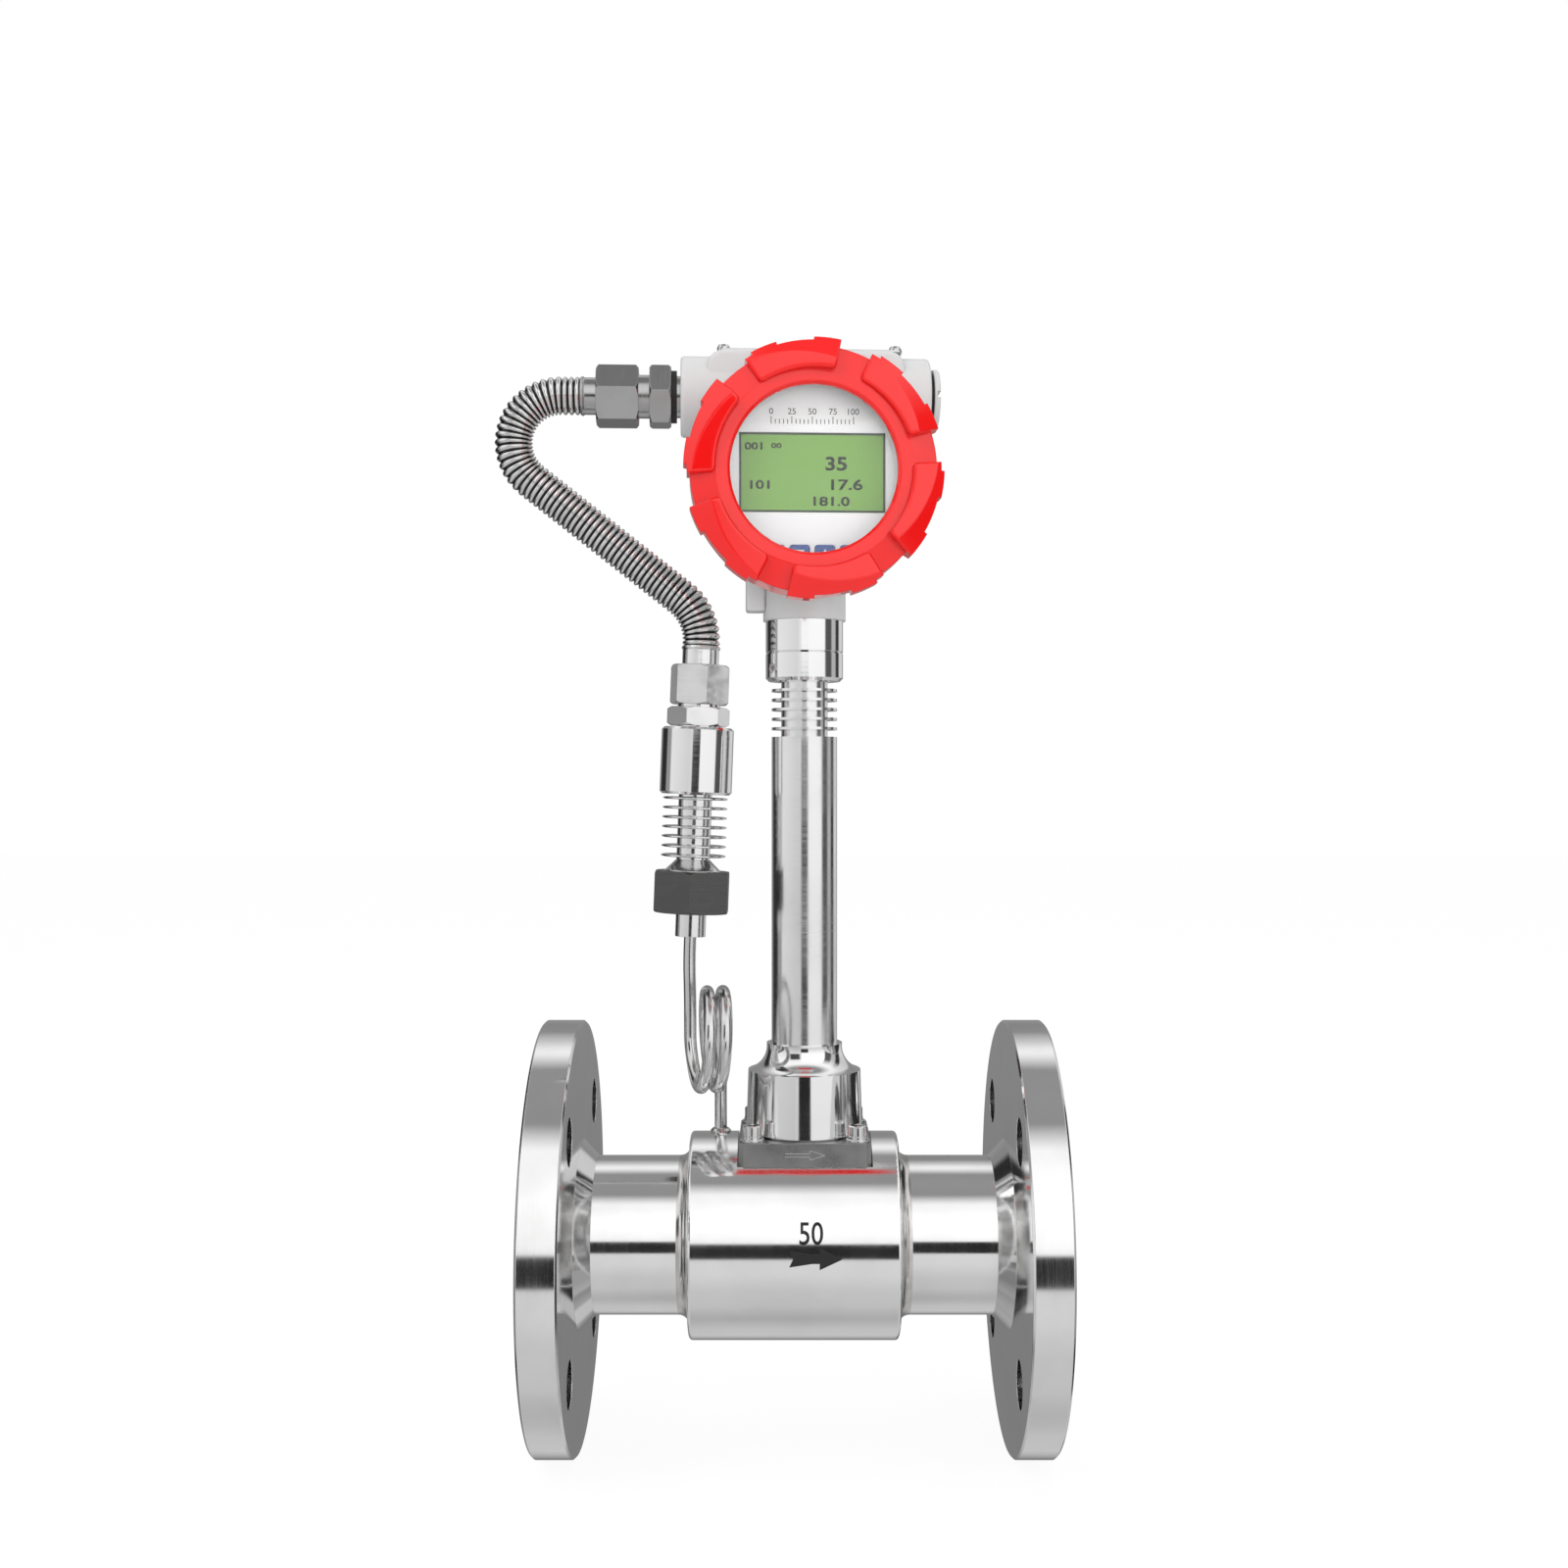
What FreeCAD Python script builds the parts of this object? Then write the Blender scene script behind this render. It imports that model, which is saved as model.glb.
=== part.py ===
"""Steam flow meter: a flanged vortex tube with a swivelling display head and a piped pressure sensor.

Millimetres. The origin is the centre of the inlet's raised face, on the axis of the bore.
+X is the way the steam flows, +Z is up along the stem, and the display looks along -Y.
"""
import FreeCAD, Part
import cmath
import math
import os

V = FreeCAD.Vector
UP = V(0, 0, 1)

# Flow tube and its two flanges
FACE_TO_FACE = 200.0
BORE_D = 50.0
FLANGE_D = 165.0
FLANGE_T = 15.0
BOLT_HOLE_D = 18.0
BOLT_HOLE_TO_RIM = 20.0
BOLT_CIRCLE_D = FLANGE_D - 2 * BOLT_HOLE_TO_RIM
RAISED_FACE_MARGIN = 2.5
RAISED_FACE_D = BOLT_CIRCLE_D - BOLT_HOLE_D - 2 * RAISED_FACE_MARGIN
RAISED_FACE_T = 3.0
BOLT_COUNT = 4
RIM_CHAMFER = 0.8
NECK_WALL = 5.15
NECK_D = BORE_D + 2 * NECK_WALL
HUB_FLARE = 6.35
HUB_D = NECK_D + 2 * HUB_FLARE
HUB_L = 6.0
BODY_WALL = 14.5
BODY_D = BORE_D + 2 * BODY_WALL
BODY_L = 80.0
BODY_EDGE_R = 1.5
WELD_LEG = 4.2
WELD_SINK = 0.02

# Bluff body and vortex probe
STEM_OFFSET = 4.1
BLUFF_W = 14.0
BLUFF_L = 12.0
BLUFF_TAIL_W = 5.0
BLUFF_TO_PROBE = 8.0
BLUFF_WELD_GAP = 0.02
PADDLE_L = 10.0
PADDLE_T = 3.2
PADDLE_REACH = 32.0
PROBE_D = 16.0
PROBE_COLLAR_D = 24.0
PROBE_COLLAR_T = 3.0
PROBE_SEAL_T = 1.5
PROBE_SEAL_SINK = 1.5
PROBE_STUD_D = 12.0
PROBE_STUD_L = 24.0
SLIP = 0.1

# Mounting plate on its milled pad
PAD_CUT = 8.5
PAD_Z = BODY_D / 2 - PAD_CUT
PAD_CLEARANCE = 0.5
PLATE_SIDE = 50.0
PLATE_T = 9.0
PLATE_CORNER = 2.0
SCREW_INSET = 5.0
SCREW_D = 4.0
SCREW_L = 21.0
SCREW_HEAD_D = 7.0
SCREW_HEAD_H = 4.0
SCREW_SOCKET_AF = 3.0
WASHER_D = 9.0
WASHER_T = 0.8
SPRING_WASHER_D = 7.4
SPRING_WASHER_T = 1.2
SCREW_SLIP = 0.15

# Bonnet and finned stem
BONNET_D = 45.0
BONNET_SHOULDER_D = 43.5
BONNET_SKIRT_H = 24.3
BONNET_TOP_D = 29.3
BONNET_FLARE_H = 10.3
BONNET_FLARE_SAG = 1.7
BONNET_WALL = 5.0
STEM_D = 25.4
STEM_BORE_D = 14.0
STEM_L = 118.4
STEM_SEAT = 8.0
FIN_COUNT = 5
FIN_T = 1.0
FIN_GAP = 2.7
FIN_CORE_D = 18.0

# Swivel collar under the head
SWIVEL_GAP = 0.3
SWIVEL_CLEARANCE = 0.05
SPIGOT_D = 20.0
SPIGOT_L = 17.0
SPIGOT_GROOVE_D = 17.0
SPIGOT_GROOVE_W = 4.6
COLLAR_D = 30.0
COLLAR_L = 23.4
COLLAR_CHAMFER = 1.2
COLLAR_LINE_Z = 10.6
COLLAR_LINE_W = 0.8
NIPPLE_D = 22.0
NIPPLE_L = 8.0
SET_SCREW_D = 4.0
SET_SCREW_Z = 4.9
SET_SCREW_AZIMUTH = 57.0
SET_SCREW_TIP_GAP = 0.4

# Housing of the head
HEAD_YAW = 3.0
HEAD_RISE = 50.1
BARREL_D = 82.4
BARREL_L = 92.0
BARREL_WALL = 3.2
COMPARTMENT_D = BARREL_D - 2 * BARREL_WALL
FRONT_DEPTH = 34.0
PARTITION_T = 4.0
REAR_SHARE = 0.74
WAIST_D = 74.0
WAIST_STEP = 4.0
BLOCK_W = 76.2
BLOCK_TOP = 52.5
BLOCK_FRONT = 14.0
BLOCK_REAR = 22.0
BLOCK_CORNER_R = 7.0
BLOCK_EDGE_R = 2.0
BOSS_D = 31.0
BOSS_RISE = 36.5
BOSS_REACH = 48.0
BOSS_EDGE_R = 1.5
ENTRY_D = 16.0
ENTRY_DEPTH = 31.0
HOUSING_NECK_D = 32.0
WIRE_HOLE_D = 13.0
WIRE_DROP_D = 10.0
WIRE_DROP_X = 20.0
LUG_OFFSET = 19.0
LUG_W = 7.3
LUG_DEPTH = 12.0
LUG_DROP = 46.6
GROUND_SCREW_D = 4.0
GROUND_SCREW_L = 7.0
GROUND_HEAD_D = 6.4
GROUND_HEAD_H = 2.0
NAMEPLATE_DEPTH = 18.0
NAMEPLATE_T = 0.8
NAMEPLATE_SHIFT = 1.5
NAMEPLATE_FORWARD = 2.0
NAMEPLATE_SCREW_INSET = 3.5
NAMEPLATE_SCREW_SPAN = 66.0
NAMEPLATE_SCREW_D = 2.4
NAMEPLATE_SCREW_L = 5.0
NAMEPLATE_HEAD_D = 5.0
NAMEPLATE_HEAD_H = 1.8

# Screwed covers, front and rear
COVER_OVERLAP = 12.0
THREAD_CLEARANCE = 0.3
COVER_WALL = 3.1
COVER_SKIRT_D = BARREL_D + 2 * (THREAD_CLEARANCE + COVER_WALL)
COVER_END_GAP = 0.5
COVER_FACE_RISE = 11.0
COVER_FACE_FALL = 3.6
COVER_LIP_T = 3.0
GLASS_INSET = 2.0
GLASS_D = COMPARTMENT_D - 2 * GLASS_INSET
GLASS_T = 5.0
GLASS_SLIP = 0.2
WINDOW_LIP = 5.8
WINDOW_D = GLASS_D - 2 * WINDOW_LIP
WINDOW_SEAL_T = 0.5
WINDOW_SEAL_W = 5.0
WINDOW_SEAL_D = GLASS_D - 2 * WINDOW_SEAL_W
RETAINER_W = 4.0
RETAINER_BORE_D = GLASS_D - 2 * RETAINER_W
BLIND_T = 5.0
GRIP_COUNT = 6
GRIP_ARC = 45.0
GRIP_FIRST = -33.0
GRIP_TO_WINDOW = 5.2
GRIP_INNER_D = WINDOW_D + 2 * GRIP_TO_WINDOW
GRIP_PROUD = 2.3
GRIP_OUTER_D = COVER_SKIRT_D + 2 * GRIP_PROUD
GRIP_BEVEL_W = 8.2
GRIP_RIDGE_D = GRIP_OUTER_D - 2 * GRIP_BEVEL_W
GRIP_LUG_ARC = 12.0
GRIP_POCKET_ARC = 17.0
GRIP_POCKET = 1.2
GRIP_HIGH = 5.0
GRIP_LOW = 1.6
GRIP_SLOPE = 5.2
GRIP_SIDE_L = 9.0
GRIP_TAPER_L = 3.0
GRIP_EDGE_R = 1.1
GRIP_CORNER_R = 2.0
O_RING_SECTION = 1.7
O_RING_CLEARANCE = 0.3
O_RING_INSET = 2.6

# Display stack behind the window
PANEL_CLEARANCE = 0.5
PANEL_D = COMPARTMENT_D - 2 * PANEL_CLEARANCE
PANEL_T = 2.0
PANEL_SINK = 1.0
LCD_SLIP = 0.1
BOARD_CLEARANCE = 3.0
BOARD_D = COMPARTMENT_D - 2 * BOARD_CLEARANCE
BOARD_T = 1.6
DISPLAY_BOARD_GAP = 5.5
MAIN_BOARD_DEPTH = 12.4
POST_INSET = 4.0
POST_CIRCLE_D = BOARD_D - 2 * POST_INSET
POST_D = 5.0
POST_SPACER_D = 7.0
LCD_POST_GAP = 0.92
LCD_FRAME_INSET = 5.0
LCD_FRAME_SIDE = 3.4
LCD_FRAME_EDGE = 3.05
LCD_FRAME_W = BOARD_D - 2 * LCD_FRAME_INSET
LCD_FRAME_H = POST_CIRCLE_D * math.sqrt(0.5) - POST_SPACER_D - 2 * LCD_POST_GAP
LCD_W = LCD_FRAME_W - 2 * LCD_FRAME_SIDE
LCD_H = LCD_FRAME_H - 2 * LCD_FRAME_EDGE
KEY_COUNT = 4
KEY_PITCH = 9.2
KEY_W = 7.2
KEY_H = 6.0
KEY_R = 1.0
KEY_TO_RIM = 8.1
KEY_DROP = PANEL_D / 2 - KEY_TO_RIM
KEY_PROUD = 0.8
KEY_SLIP = 0.2
KEY_FLANGE = 0.6
KEY_FLANGE_T = 0.6
KEY_FLANGE_GAP = 0.1
KEY_STEM_D = 3.0
KEY_TRAVEL = 0.5
KEY_REST_GAP = 0.1
SWITCH_SIDE = 5.0
SWITCH_H = 3.0
CHIP_SIDE = 14.0
CHIP_H = 1.6
COIL_CORE_W = 12.0
COIL_CORE_H = 8.0
HEADER_W = 24.0
HEADER_DEPTH = 6.0
CAPACITOR_D = 6.0
CAPACITOR_H = 9.0
CAPACITOR_COUNT = 3
CAPACITOR_PITCH = 8.0

# Rear compartment
TERMINAL_COUNT = 6
TERMINAL_TO_WALL = 1.5
TERMINAL_H = 15.0
TERMINAL_DEPTH = 14.0
TERMINAL_RISE = 4.0
TERMINAL_SCREW_D = 4.0
TERMINAL_SCREW_L = 6.0
TERMINAL_WELL_D = 5.4
TERMINAL_WELL = 2.0
FEEDTHROUGH_D = 8.0
FEEDTHROUGH_L = 10.0
FEEDTHROUGH_DROP = 20.0

# Blind plug in the spare cable entry
PLUG_HEAD_D = 22.8
PLUG_HEAD_T = 2.3
PLUG_THREAD_L = 12.0
PLUG_SEAL_D = 20.0
PLUG_SEAL_T = 1.6

# Conduit gland beside the head
GLAND_NECK_L = 1.4
GLAND_SEAL_D = 20.0
GLAND_SEAL_T = 2.2
GLAND_HEX_AF = 22.1
GLAND_HEX_L = 8.3
GLAND_THREAD_L = 12.0
GLAND_OUTER_D = 16.6
GLAND_BORE_D = 10.0
GLAND_SHOWN_L = 4.2
UNION_AF = 21.4
UNION_L = 16.3
FERRULE_D = 14.2
FERRULE_L = 6.1
HEX_CHAMFER = 1.6
UNION_TURN = 6.0

# Corrugated conduit
HOSE_D = 14.6
HOSE_VALLEY_D = 12.4
HOSE_RIDGE_COUNT = 63
HOSE_LEAD = 7.6
HOSE_TOP_R = 18.2
HOSE_LOW_R = 21.0
HOSE_TAIL = 1.6

# Pressure sensor column
SENSOR_LEAN = 2.15
SENSOR_BASE_Z = 115.7
SENSOR_BACK = 40.25
STUB_D = 11.8
STUB_L = 20.0
STUB_BORE_D = 3.0
STUB_SOCKET_L = 7.0
SENSOR_NUT_AF = 28.0
SENSOR_NUT_L = 16.2
SENSOR_NUT_AT = 9.2
SENSOR_NUT_AZIMUTH = -91.0
COOLER_L = 29.7
COOLER_CORE_D = 13.0
COOLER_FIN_D = 25.0
COOLER_FIN_T = 1.0
COOLER_FIN_PITCH = 3.7
COOLER_FIN_COUNT = 7
COOLER_FLARE_D = 19.0
COOLER_FLARE_L = 4.4
COOLER_FLARE_EDGE = 1.5
COOLER_FIN_TAPER = 1.0
SENSOR_BODY_D = 28.0
SENSOR_BODY_L = 26.0
SENSOR_BODY_CHAMFER = 1.0
SENSOR_CAVITY_D = 20.0
CELL_D = 19.0
CELL_T = 6.0
NIPPLE_THREAD_D = 16.4
NIPPLE_THREAD_L = 18.0
LOCK_NUT_AF = 21.2
LOCK_NUT_L = 7.3
LOCK_NUT_AT = 0.5
LOCK_NUT_TURN = -109.0
LOWER_UNION_AF = 20.5
LOWER_UNION_L = 15.4
LOWER_UNION_AT = 8.8
LOWER_UNION_TURN = -74.0
LOWER_FERRULE_L = 7.4

# Siphon tube with its pigtail coil
SIPHON_D = 4.8
SIPHON_BORE_D = 2.8
COIL_R = 18.0
COIL_TURN_COUNT = 2
COIL_PITCH = 6.0
COIL_Z = 78.0
COIL_EASE = 8.0
COIL_YAW = 9.6
COIL_SPAN_COUNT = 8
TAP_DEPTH = 6.0
TAP_BORE_D = 3.0
TAP_COLLAR_D = 8.0
TAP_COLLAR_H = 1.5
TAP_COLLAR_EDGE = 0.8

# Places worked out from the sizes above
X_MID = FACE_TO_FACE / 2
X_STEM = X_MID + STEM_OFFSET
PLATE_TOP = PAD_Z + PLATE_T
BONNET_TOP = PLATE_TOP + BONNET_SKIRT_H + BONNET_FLARE_H
STEM_FOOT = BONNET_TOP - STEM_SEAT
FINS_FROM = BONNET_TOP + STEM_L
FINS_TO = FINS_FROM + FIN_COUNT * FIN_T + (FIN_COUNT + 1) * FIN_GAP
COLLAR_FROM = FINS_TO + SWIVEL_GAP
COLLAR_TO = COLLAR_FROM + COLLAR_L
HEAD_Z = COLLAR_TO + HEAD_RISE
HEAD = V(X_STEM, 0, HEAD_Z)
BARREL_END = BARREL_L / 2
REAR_END = BARREL_END * REAR_SHARE
REAR_BARREL_D = BARREL_D * REAR_SHARE
REAR_ROOM_D = COMPARTMENT_D * REAR_SHARE
TERMINAL_ROW = 2 * math.sqrt((REAR_ROOM_D / 2 - TERMINAL_TO_WALL) ** 2
                             - (TERMINAL_RISE + TERMINAL_H / 2) ** 2)
TERMINAL_PITCH = TERMINAL_ROW / TERMINAL_COUNT
PARTITION_FRONT = BARREL_END - FRONT_DEPTH
PARTITION_REAR = PARTITION_FRONT - PARTITION_T
COVER_FACE = BARREL_END + COVER_FACE_RISE
PANEL_FRONT = BARREL_END - PANEL_SINK
PANEL_BACK = PANEL_FRONT - PANEL_T
DISPLAY_BOARD_FRONT = PANEL_BACK - DISPLAY_BOARD_GAP
MAIN_BOARD_REAR = PARTITION_FRONT + MAIN_BOARD_DEPTH
ENTRY_Z = HEAD_Z + BOSS_RISE


def outline(start, *steps):
    """Closed wire in the XZ plane. A step is an end point, or a (via, end) pair for an arc."""
    at = lambda p: V(p[0], 0, p[1])
    edges, here = [], start
    for step in steps + (start,):
        if isinstance(step[0], tuple):
            via, end = step
            edges.append(Part.Arc(at(here), at(via), at(end)).toShape())
        else:
            end = step
            edges.append(Part.makeLine(at(here), at(end)))
        here = end
    return Part.Wire(edges)


def turned(wire, at=V(0, 0, 0), along=UP, angle=360.0):
    """Solid of revolution of a (radius, height) outline, stood at a point along a direction."""
    solid = Part.Face(wire).revolve(V(0, 0, 0), UP, angle)
    return stood(solid, at, along)


def stood(solid, at, along):
    """A solid made about the Z axis, moved to a point and turned to a direction."""
    moved = solid.copy()
    moved.Placement = FreeCAD.Placement(at, FreeCAD.Rotation(UP, along))
    return moved


def rod(d, low, high, at=V(0, 0, 0), along=UP):
    """Cylinder from low to high, measured from a point along a direction."""
    return stood(Part.makeCylinder(d / 2, high - low, V(0, 0, low)), at, along)


def tube(d, bore, low, high, at=V(0, 0, 0), along=UP):
    """Cylinder with a through bore, measured from a point along a direction."""
    return rod(d, low, high, at, along).cut(rod(bore, low - 1, high + 1, at, along))


def slab(x, y, z):
    """Box between pairs of coordinates."""
    return Part.makeBox(x[1] - x[0], y[1] - y[0], z[1] - z[0], V(x[0], y[0], z[0]))


def around(value, half):
    """The pair of coordinates half a width each side of a value."""
    return value - half, value + half


def hexagon(af, low, high, turn=0.0):
    """Hexagonal bar about the Z axis, both ends chamfered, with a corner at the turn angle."""
    corner_r = af / math.sqrt(3)
    angles = [math.radians(turn + 60 * k) for k in range(7)]
    ring = Part.makePolygon([V(corner_r * math.cos(a), corner_r * math.sin(a), low) for a in angles])
    bar = Part.Face(ring).extrude(V(0, 0, high - low))
    rim = af / 2 * 1.02
    drop = HEX_CHAMFER * 0.6
    round_bar = turned(outline((0, low), (rim, low), (corner_r, low + drop), (corner_r, high - drop),
                               (rim, high), (0, high)))
    return bar.common(round_bar)


def solids_of(shape):
    """The shape's solids as one compound, so that one node can hold a group of like pieces."""
    return Part.makeCompound(shape.Solids) if len(shape.Solids) > 1 else shape.Solids[0]


def to_head(shape, rear=False):
    """Take a shape from the head's own frame (x right, y up, z out of the display) to its place."""
    face = FreeCAD.Rotation(UP, HEAD_YAW + (180 if rear else 0)).multiply(FreeCAD.Rotation(V(1, 0, 0), 90))
    moved = shape.copy()
    moved.Placement = FreeCAD.Placement(HEAD, face).multiply(shape.Placement)
    return moved


# Flow tube

def flange(at_x, inwards):
    """Raised-face flange with a short cone that runs down to the neck, drilled for its bolts."""
    rim, back = FLANGE_D / 2, RAISED_FACE_T + FLANGE_T
    shape = turned(
        outline((BORE_D / 2, 0), (RAISED_FACE_D / 2, 0), (RAISED_FACE_D / 2, RAISED_FACE_T),
                (rim - RIM_CHAMFER, RAISED_FACE_T), (rim, RAISED_FACE_T + RIM_CHAMFER),
                (rim, back - RIM_CHAMFER), (rim - RIM_CHAMFER, back), (HUB_D / 2, back),
                (NECK_D / 2, back + HUB_L), (BORE_D / 2, back + HUB_L)),
        V(at_x, 0, 0), V(inwards, 0, 0))
    for k in range(BOLT_COUNT):
        a = math.radians((k + 0.5) * 360 / BOLT_COUNT)
        centre = V(at_x, BOLT_CIRCLE_D / 2 * math.cos(a), BOLT_CIRCLE_D / 2 * math.sin(a))
        shape = shape.cut(rod(BOLT_HOLE_D, -1, back + 1, centre, V(inwards, 0, 0)))
    return shape


def neck(at_x, inwards):
    """Pipe between a flange's cone and the body."""
    start = RAISED_FACE_T + FLANGE_T + HUB_L
    end = (FACE_TO_FACE - BODY_L) / 2
    return tube(NECK_D, BORE_D, start, end, V(at_x, 0, 0), V(inwards, 0, 0))


def weld_ring(at_x, inwards):
    """Hollow fillet weld in the corner between a neck and the end of the body."""
    end = (FACE_TO_FACE - BODY_L) / 2 - WELD_SINK
    r = NECK_D / 2 + WELD_SINK
    hollow = WELD_LEG * (1 - math.sqrt(0.5))
    return turned(outline((r, end - WELD_LEG), ((r + hollow, end - hollow), (r + WELD_LEG, end)), (r, end)),
                  V(at_x, 0, 0), V(inwards, 0, 0))


def plate_corners():
    """Centres of the four plate screws in plan."""
    reach = PLATE_SIDE / 2 - SCREW_INSET
    return [V(X_STEM + sx * reach, sy * reach, 0) for sx in (-1, 1) for sy in (-1, 1)]


def screw_seat_z():
    """Underside of the plate screws' heads."""
    return PLATE_TOP + WASHER_T + SPRING_WASHER_T


def tap_place():
    """Where the siphon tube's lower leg stands on the body."""
    a = math.radians(COIL_YAW)
    run = COIL_TURN_COUNT * COIL_PITCH
    return V(X_MID - SENSOR_BACK + run * math.cos(a), run * math.sin(a), 0)


def tap_wall_z():
    """Height of the body's round top at the siphon tap."""
    return math.sqrt((BODY_D / 2) ** 2 - tap_place().y ** 2)


def meter_body():
    """Thick tube with a milled pad, a probe hole, screw holes and a pressure tap."""
    blank = rod(BODY_D, 0, BODY_L)
    blank = blank.makeFillet(BODY_EDGE_R, [e for e in blank.Edges if e.Length > math.pi * BODY_D - 1 and
                                           e.isClosed()])
    body = stood(blank, V(X_MID - BODY_L / 2, 0, 0), V(1, 0, 0))
    body = body.cut(rod(BORE_D, -1, BODY_L + 1, V(X_MID - BODY_L / 2, 0, 0), V(1, 0, 0)))
    half = PLATE_SIDE / 2 + PAD_CLEARANCE
    body = body.cut(slab(around(X_STEM, half), around(0, BODY_D), (PAD_Z, BODY_D)))
    body = body.cut(rod(PROBE_D + 2 * SLIP, 0, PAD_Z + 1, V(X_STEM, 0, 0)))
    body = body.cut(rod(PROBE_COLLAR_D + 2 * SLIP, PAD_Z - PROBE_SEAL_SINK, PAD_Z + 1, V(X_STEM, 0, 0)))
    for centre in plate_corners():
        body = body.cut(rod(SCREW_D + 2 * SCREW_SLIP, screw_seat_z() - SCREW_L - 1, PAD_Z + 1, centre))
    tap = tap_place()
    body = body.cut(rod(SIPHON_D + 2 * SLIP, tap_wall_z() - TAP_DEPTH, BODY_D, tap))
    return body.cut(rod(TAP_BORE_D, 0, BODY_D, tap))


def bluff_body():
    """Trapezoidal bar that spans the bore, wide face upstream."""
    rear = X_STEM - PADDLE_L / 2 - BLUFF_TO_PROBE
    front = rear - BLUFF_L
    plan = Part.makePolygon([V(front, -BLUFF_W / 2, -BORE_D), V(rear, -BLUFF_TAIL_W / 2, -BORE_D),
                             V(rear, BLUFF_TAIL_W / 2, -BORE_D), V(front, BLUFF_W / 2, -BORE_D),
                             V(front, -BLUFF_W / 2, -BORE_D)])
    bar = Part.Face(plan).extrude(V(0, 0, 2 * BORE_D))
    return bar.common(rod(BORE_D - 2 * BLUFF_WELD_GAP, 0, FACE_TO_FACE, V(0, 0, 0), V(1, 0, 0)))


def vortex_probe():
    """Paddle in the stream, barrel through the wall, clamped collar and a stud up into the bonnet."""
    collar_foot = PAD_Z - PROBE_SEAL_SINK + PROBE_SEAL_T
    wall_z = BORE_D / 2
    barrel = rod(PROBE_D, wall_z - 2, collar_foot)
    collar = rod(PROBE_COLLAR_D, collar_foot, collar_foot + PROBE_COLLAR_T)
    stud = rod(PROBE_STUD_D, collar_foot + PROBE_COLLAR_T, collar_foot + PROBE_COLLAR_T + PROBE_STUD_L)
    paddle = slab(around(0, PADDLE_L / 2), around(0, PADDLE_T / 2), (wall_z - PADDLE_REACH, wall_z - 2))
    uprights = [e for e in paddle.Edges if abs(e.Length - PADDLE_REACH + 2) < 1e-6]
    paddle = paddle.makeFillet(PADDLE_T * 0.3, uprights)
    shape = barrel.fuse([collar, stud, paddle])
    return stood(shape, V(X_STEM, 0, 0), UP)


def probe_seal():
    """Flat ring under the probe's collar."""
    foot = PAD_Z - PROBE_SEAL_SINK
    return tube(PROBE_COLLAR_D, PROBE_D + 2 * SLIP, foot, foot + PROBE_SEAL_T, V(X_STEM, 0, 0))


def mount_plate():
    """Square plate that clamps the probe and carries the bonnet."""
    plate = slab(around(X_STEM, PLATE_SIDE / 2), around(0, PLATE_SIDE / 2), (PAD_Z, PLATE_TOP))
    plate = plate.makeChamfer(PLATE_CORNER, [e for e in plate.Edges if abs(e.Length - PLATE_T) < 1e-6])
    recess_top = PAD_Z - PROBE_SEAL_SINK + PROBE_SEAL_T + PROBE_COLLAR_T
    plate = plate.cut(rod(PROBE_COLLAR_D + 2 * SLIP, PAD_Z - 1, recess_top, V(X_STEM, 0, 0)))
    plate = plate.cut(rod(PROBE_STUD_D + 2 * SLIP, PAD_Z, PLATE_TOP + 1, V(X_STEM, 0, 0)))
    for centre in plate_corners():
        plate = plate.cut(rod(SCREW_D + 2 * SCREW_SLIP, PAD_Z - 1, PLATE_TOP + 1, centre))
    return plate


def cap_screw(centre):
    """Socket-head cap screw."""
    seat = screw_seat_z()
    edge = 0.4
    shape = turned(outline((0, seat - SCREW_L), (SCREW_D / 2, seat - SCREW_L), (SCREW_D / 2, seat),
                           (SCREW_HEAD_D / 2, seat), (SCREW_HEAD_D / 2, seat + SCREW_HEAD_H - edge),
                           (SCREW_HEAD_D / 2 - edge, seat + SCREW_HEAD_H), (0, seat + SCREW_HEAD_H)),
                   centre)
    corner_r = SCREW_SOCKET_AF / math.sqrt(3)
    ring = [V(corner_r * math.cos(math.radians(60 * k)), corner_r * math.sin(math.radians(60 * k)),
              seat + SCREW_HEAD_H / 2) for k in range(7)]
    socket = Part.Face(Part.makePolygon(ring)).extrude(V(0, 0, SCREW_HEAD_H))
    return shape.cut(stood(socket, centre, UP))


def washer_pair(centre):
    """Plain washer with a spring washer lying on it."""
    bore = SCREW_D + 2 * SCREW_SLIP
    middle = PLATE_TOP + WASHER_T
    plain = tube(WASHER_D, bore, PLATE_TOP, middle, centre)
    return plain.fuse(tube(SPRING_WASHER_D, bore, middle, middle + SPRING_WASHER_T, centre))


# Bonnet, stem and swivel collar

def bonnet():
    """Bell on the plate: a skirt that tapers slightly and a hollow flare up to the stem."""
    foot, shoulder = PLATE_TOP, PLATE_TOP + BONNET_SKIRT_H
    seat, r_stem = STEM_FOOT, STEM_D / 2 + SLIP
    r_low, r_high, r_top = BONNET_D / 2, BONNET_SHOULDER_D / 2, BONNET_TOP_D / 2
    via = ((r_high + r_top) / 2 - BONNET_FLARE_SAG, (shoulder + BONNET_TOP) / 2 - BONNET_FLARE_SAG)
    r_cavity = r_low - BONNET_WALL
    edge = 0.6
    return turned(
        outline((r_cavity, foot), (r_low - edge, foot), (r_low, foot + edge), (r_high, shoulder),
                (via, (r_top, BONNET_TOP)), (r_stem, BONNET_TOP), (r_stem, seat),
                (STEM_BORE_D / 2, seat), (STEM_BORE_D / 2, seat - BONNET_WALL),
                (r_cavity, shoulder - BONNET_WALL)),
        V(X_STEM, 0, 0))


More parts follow.
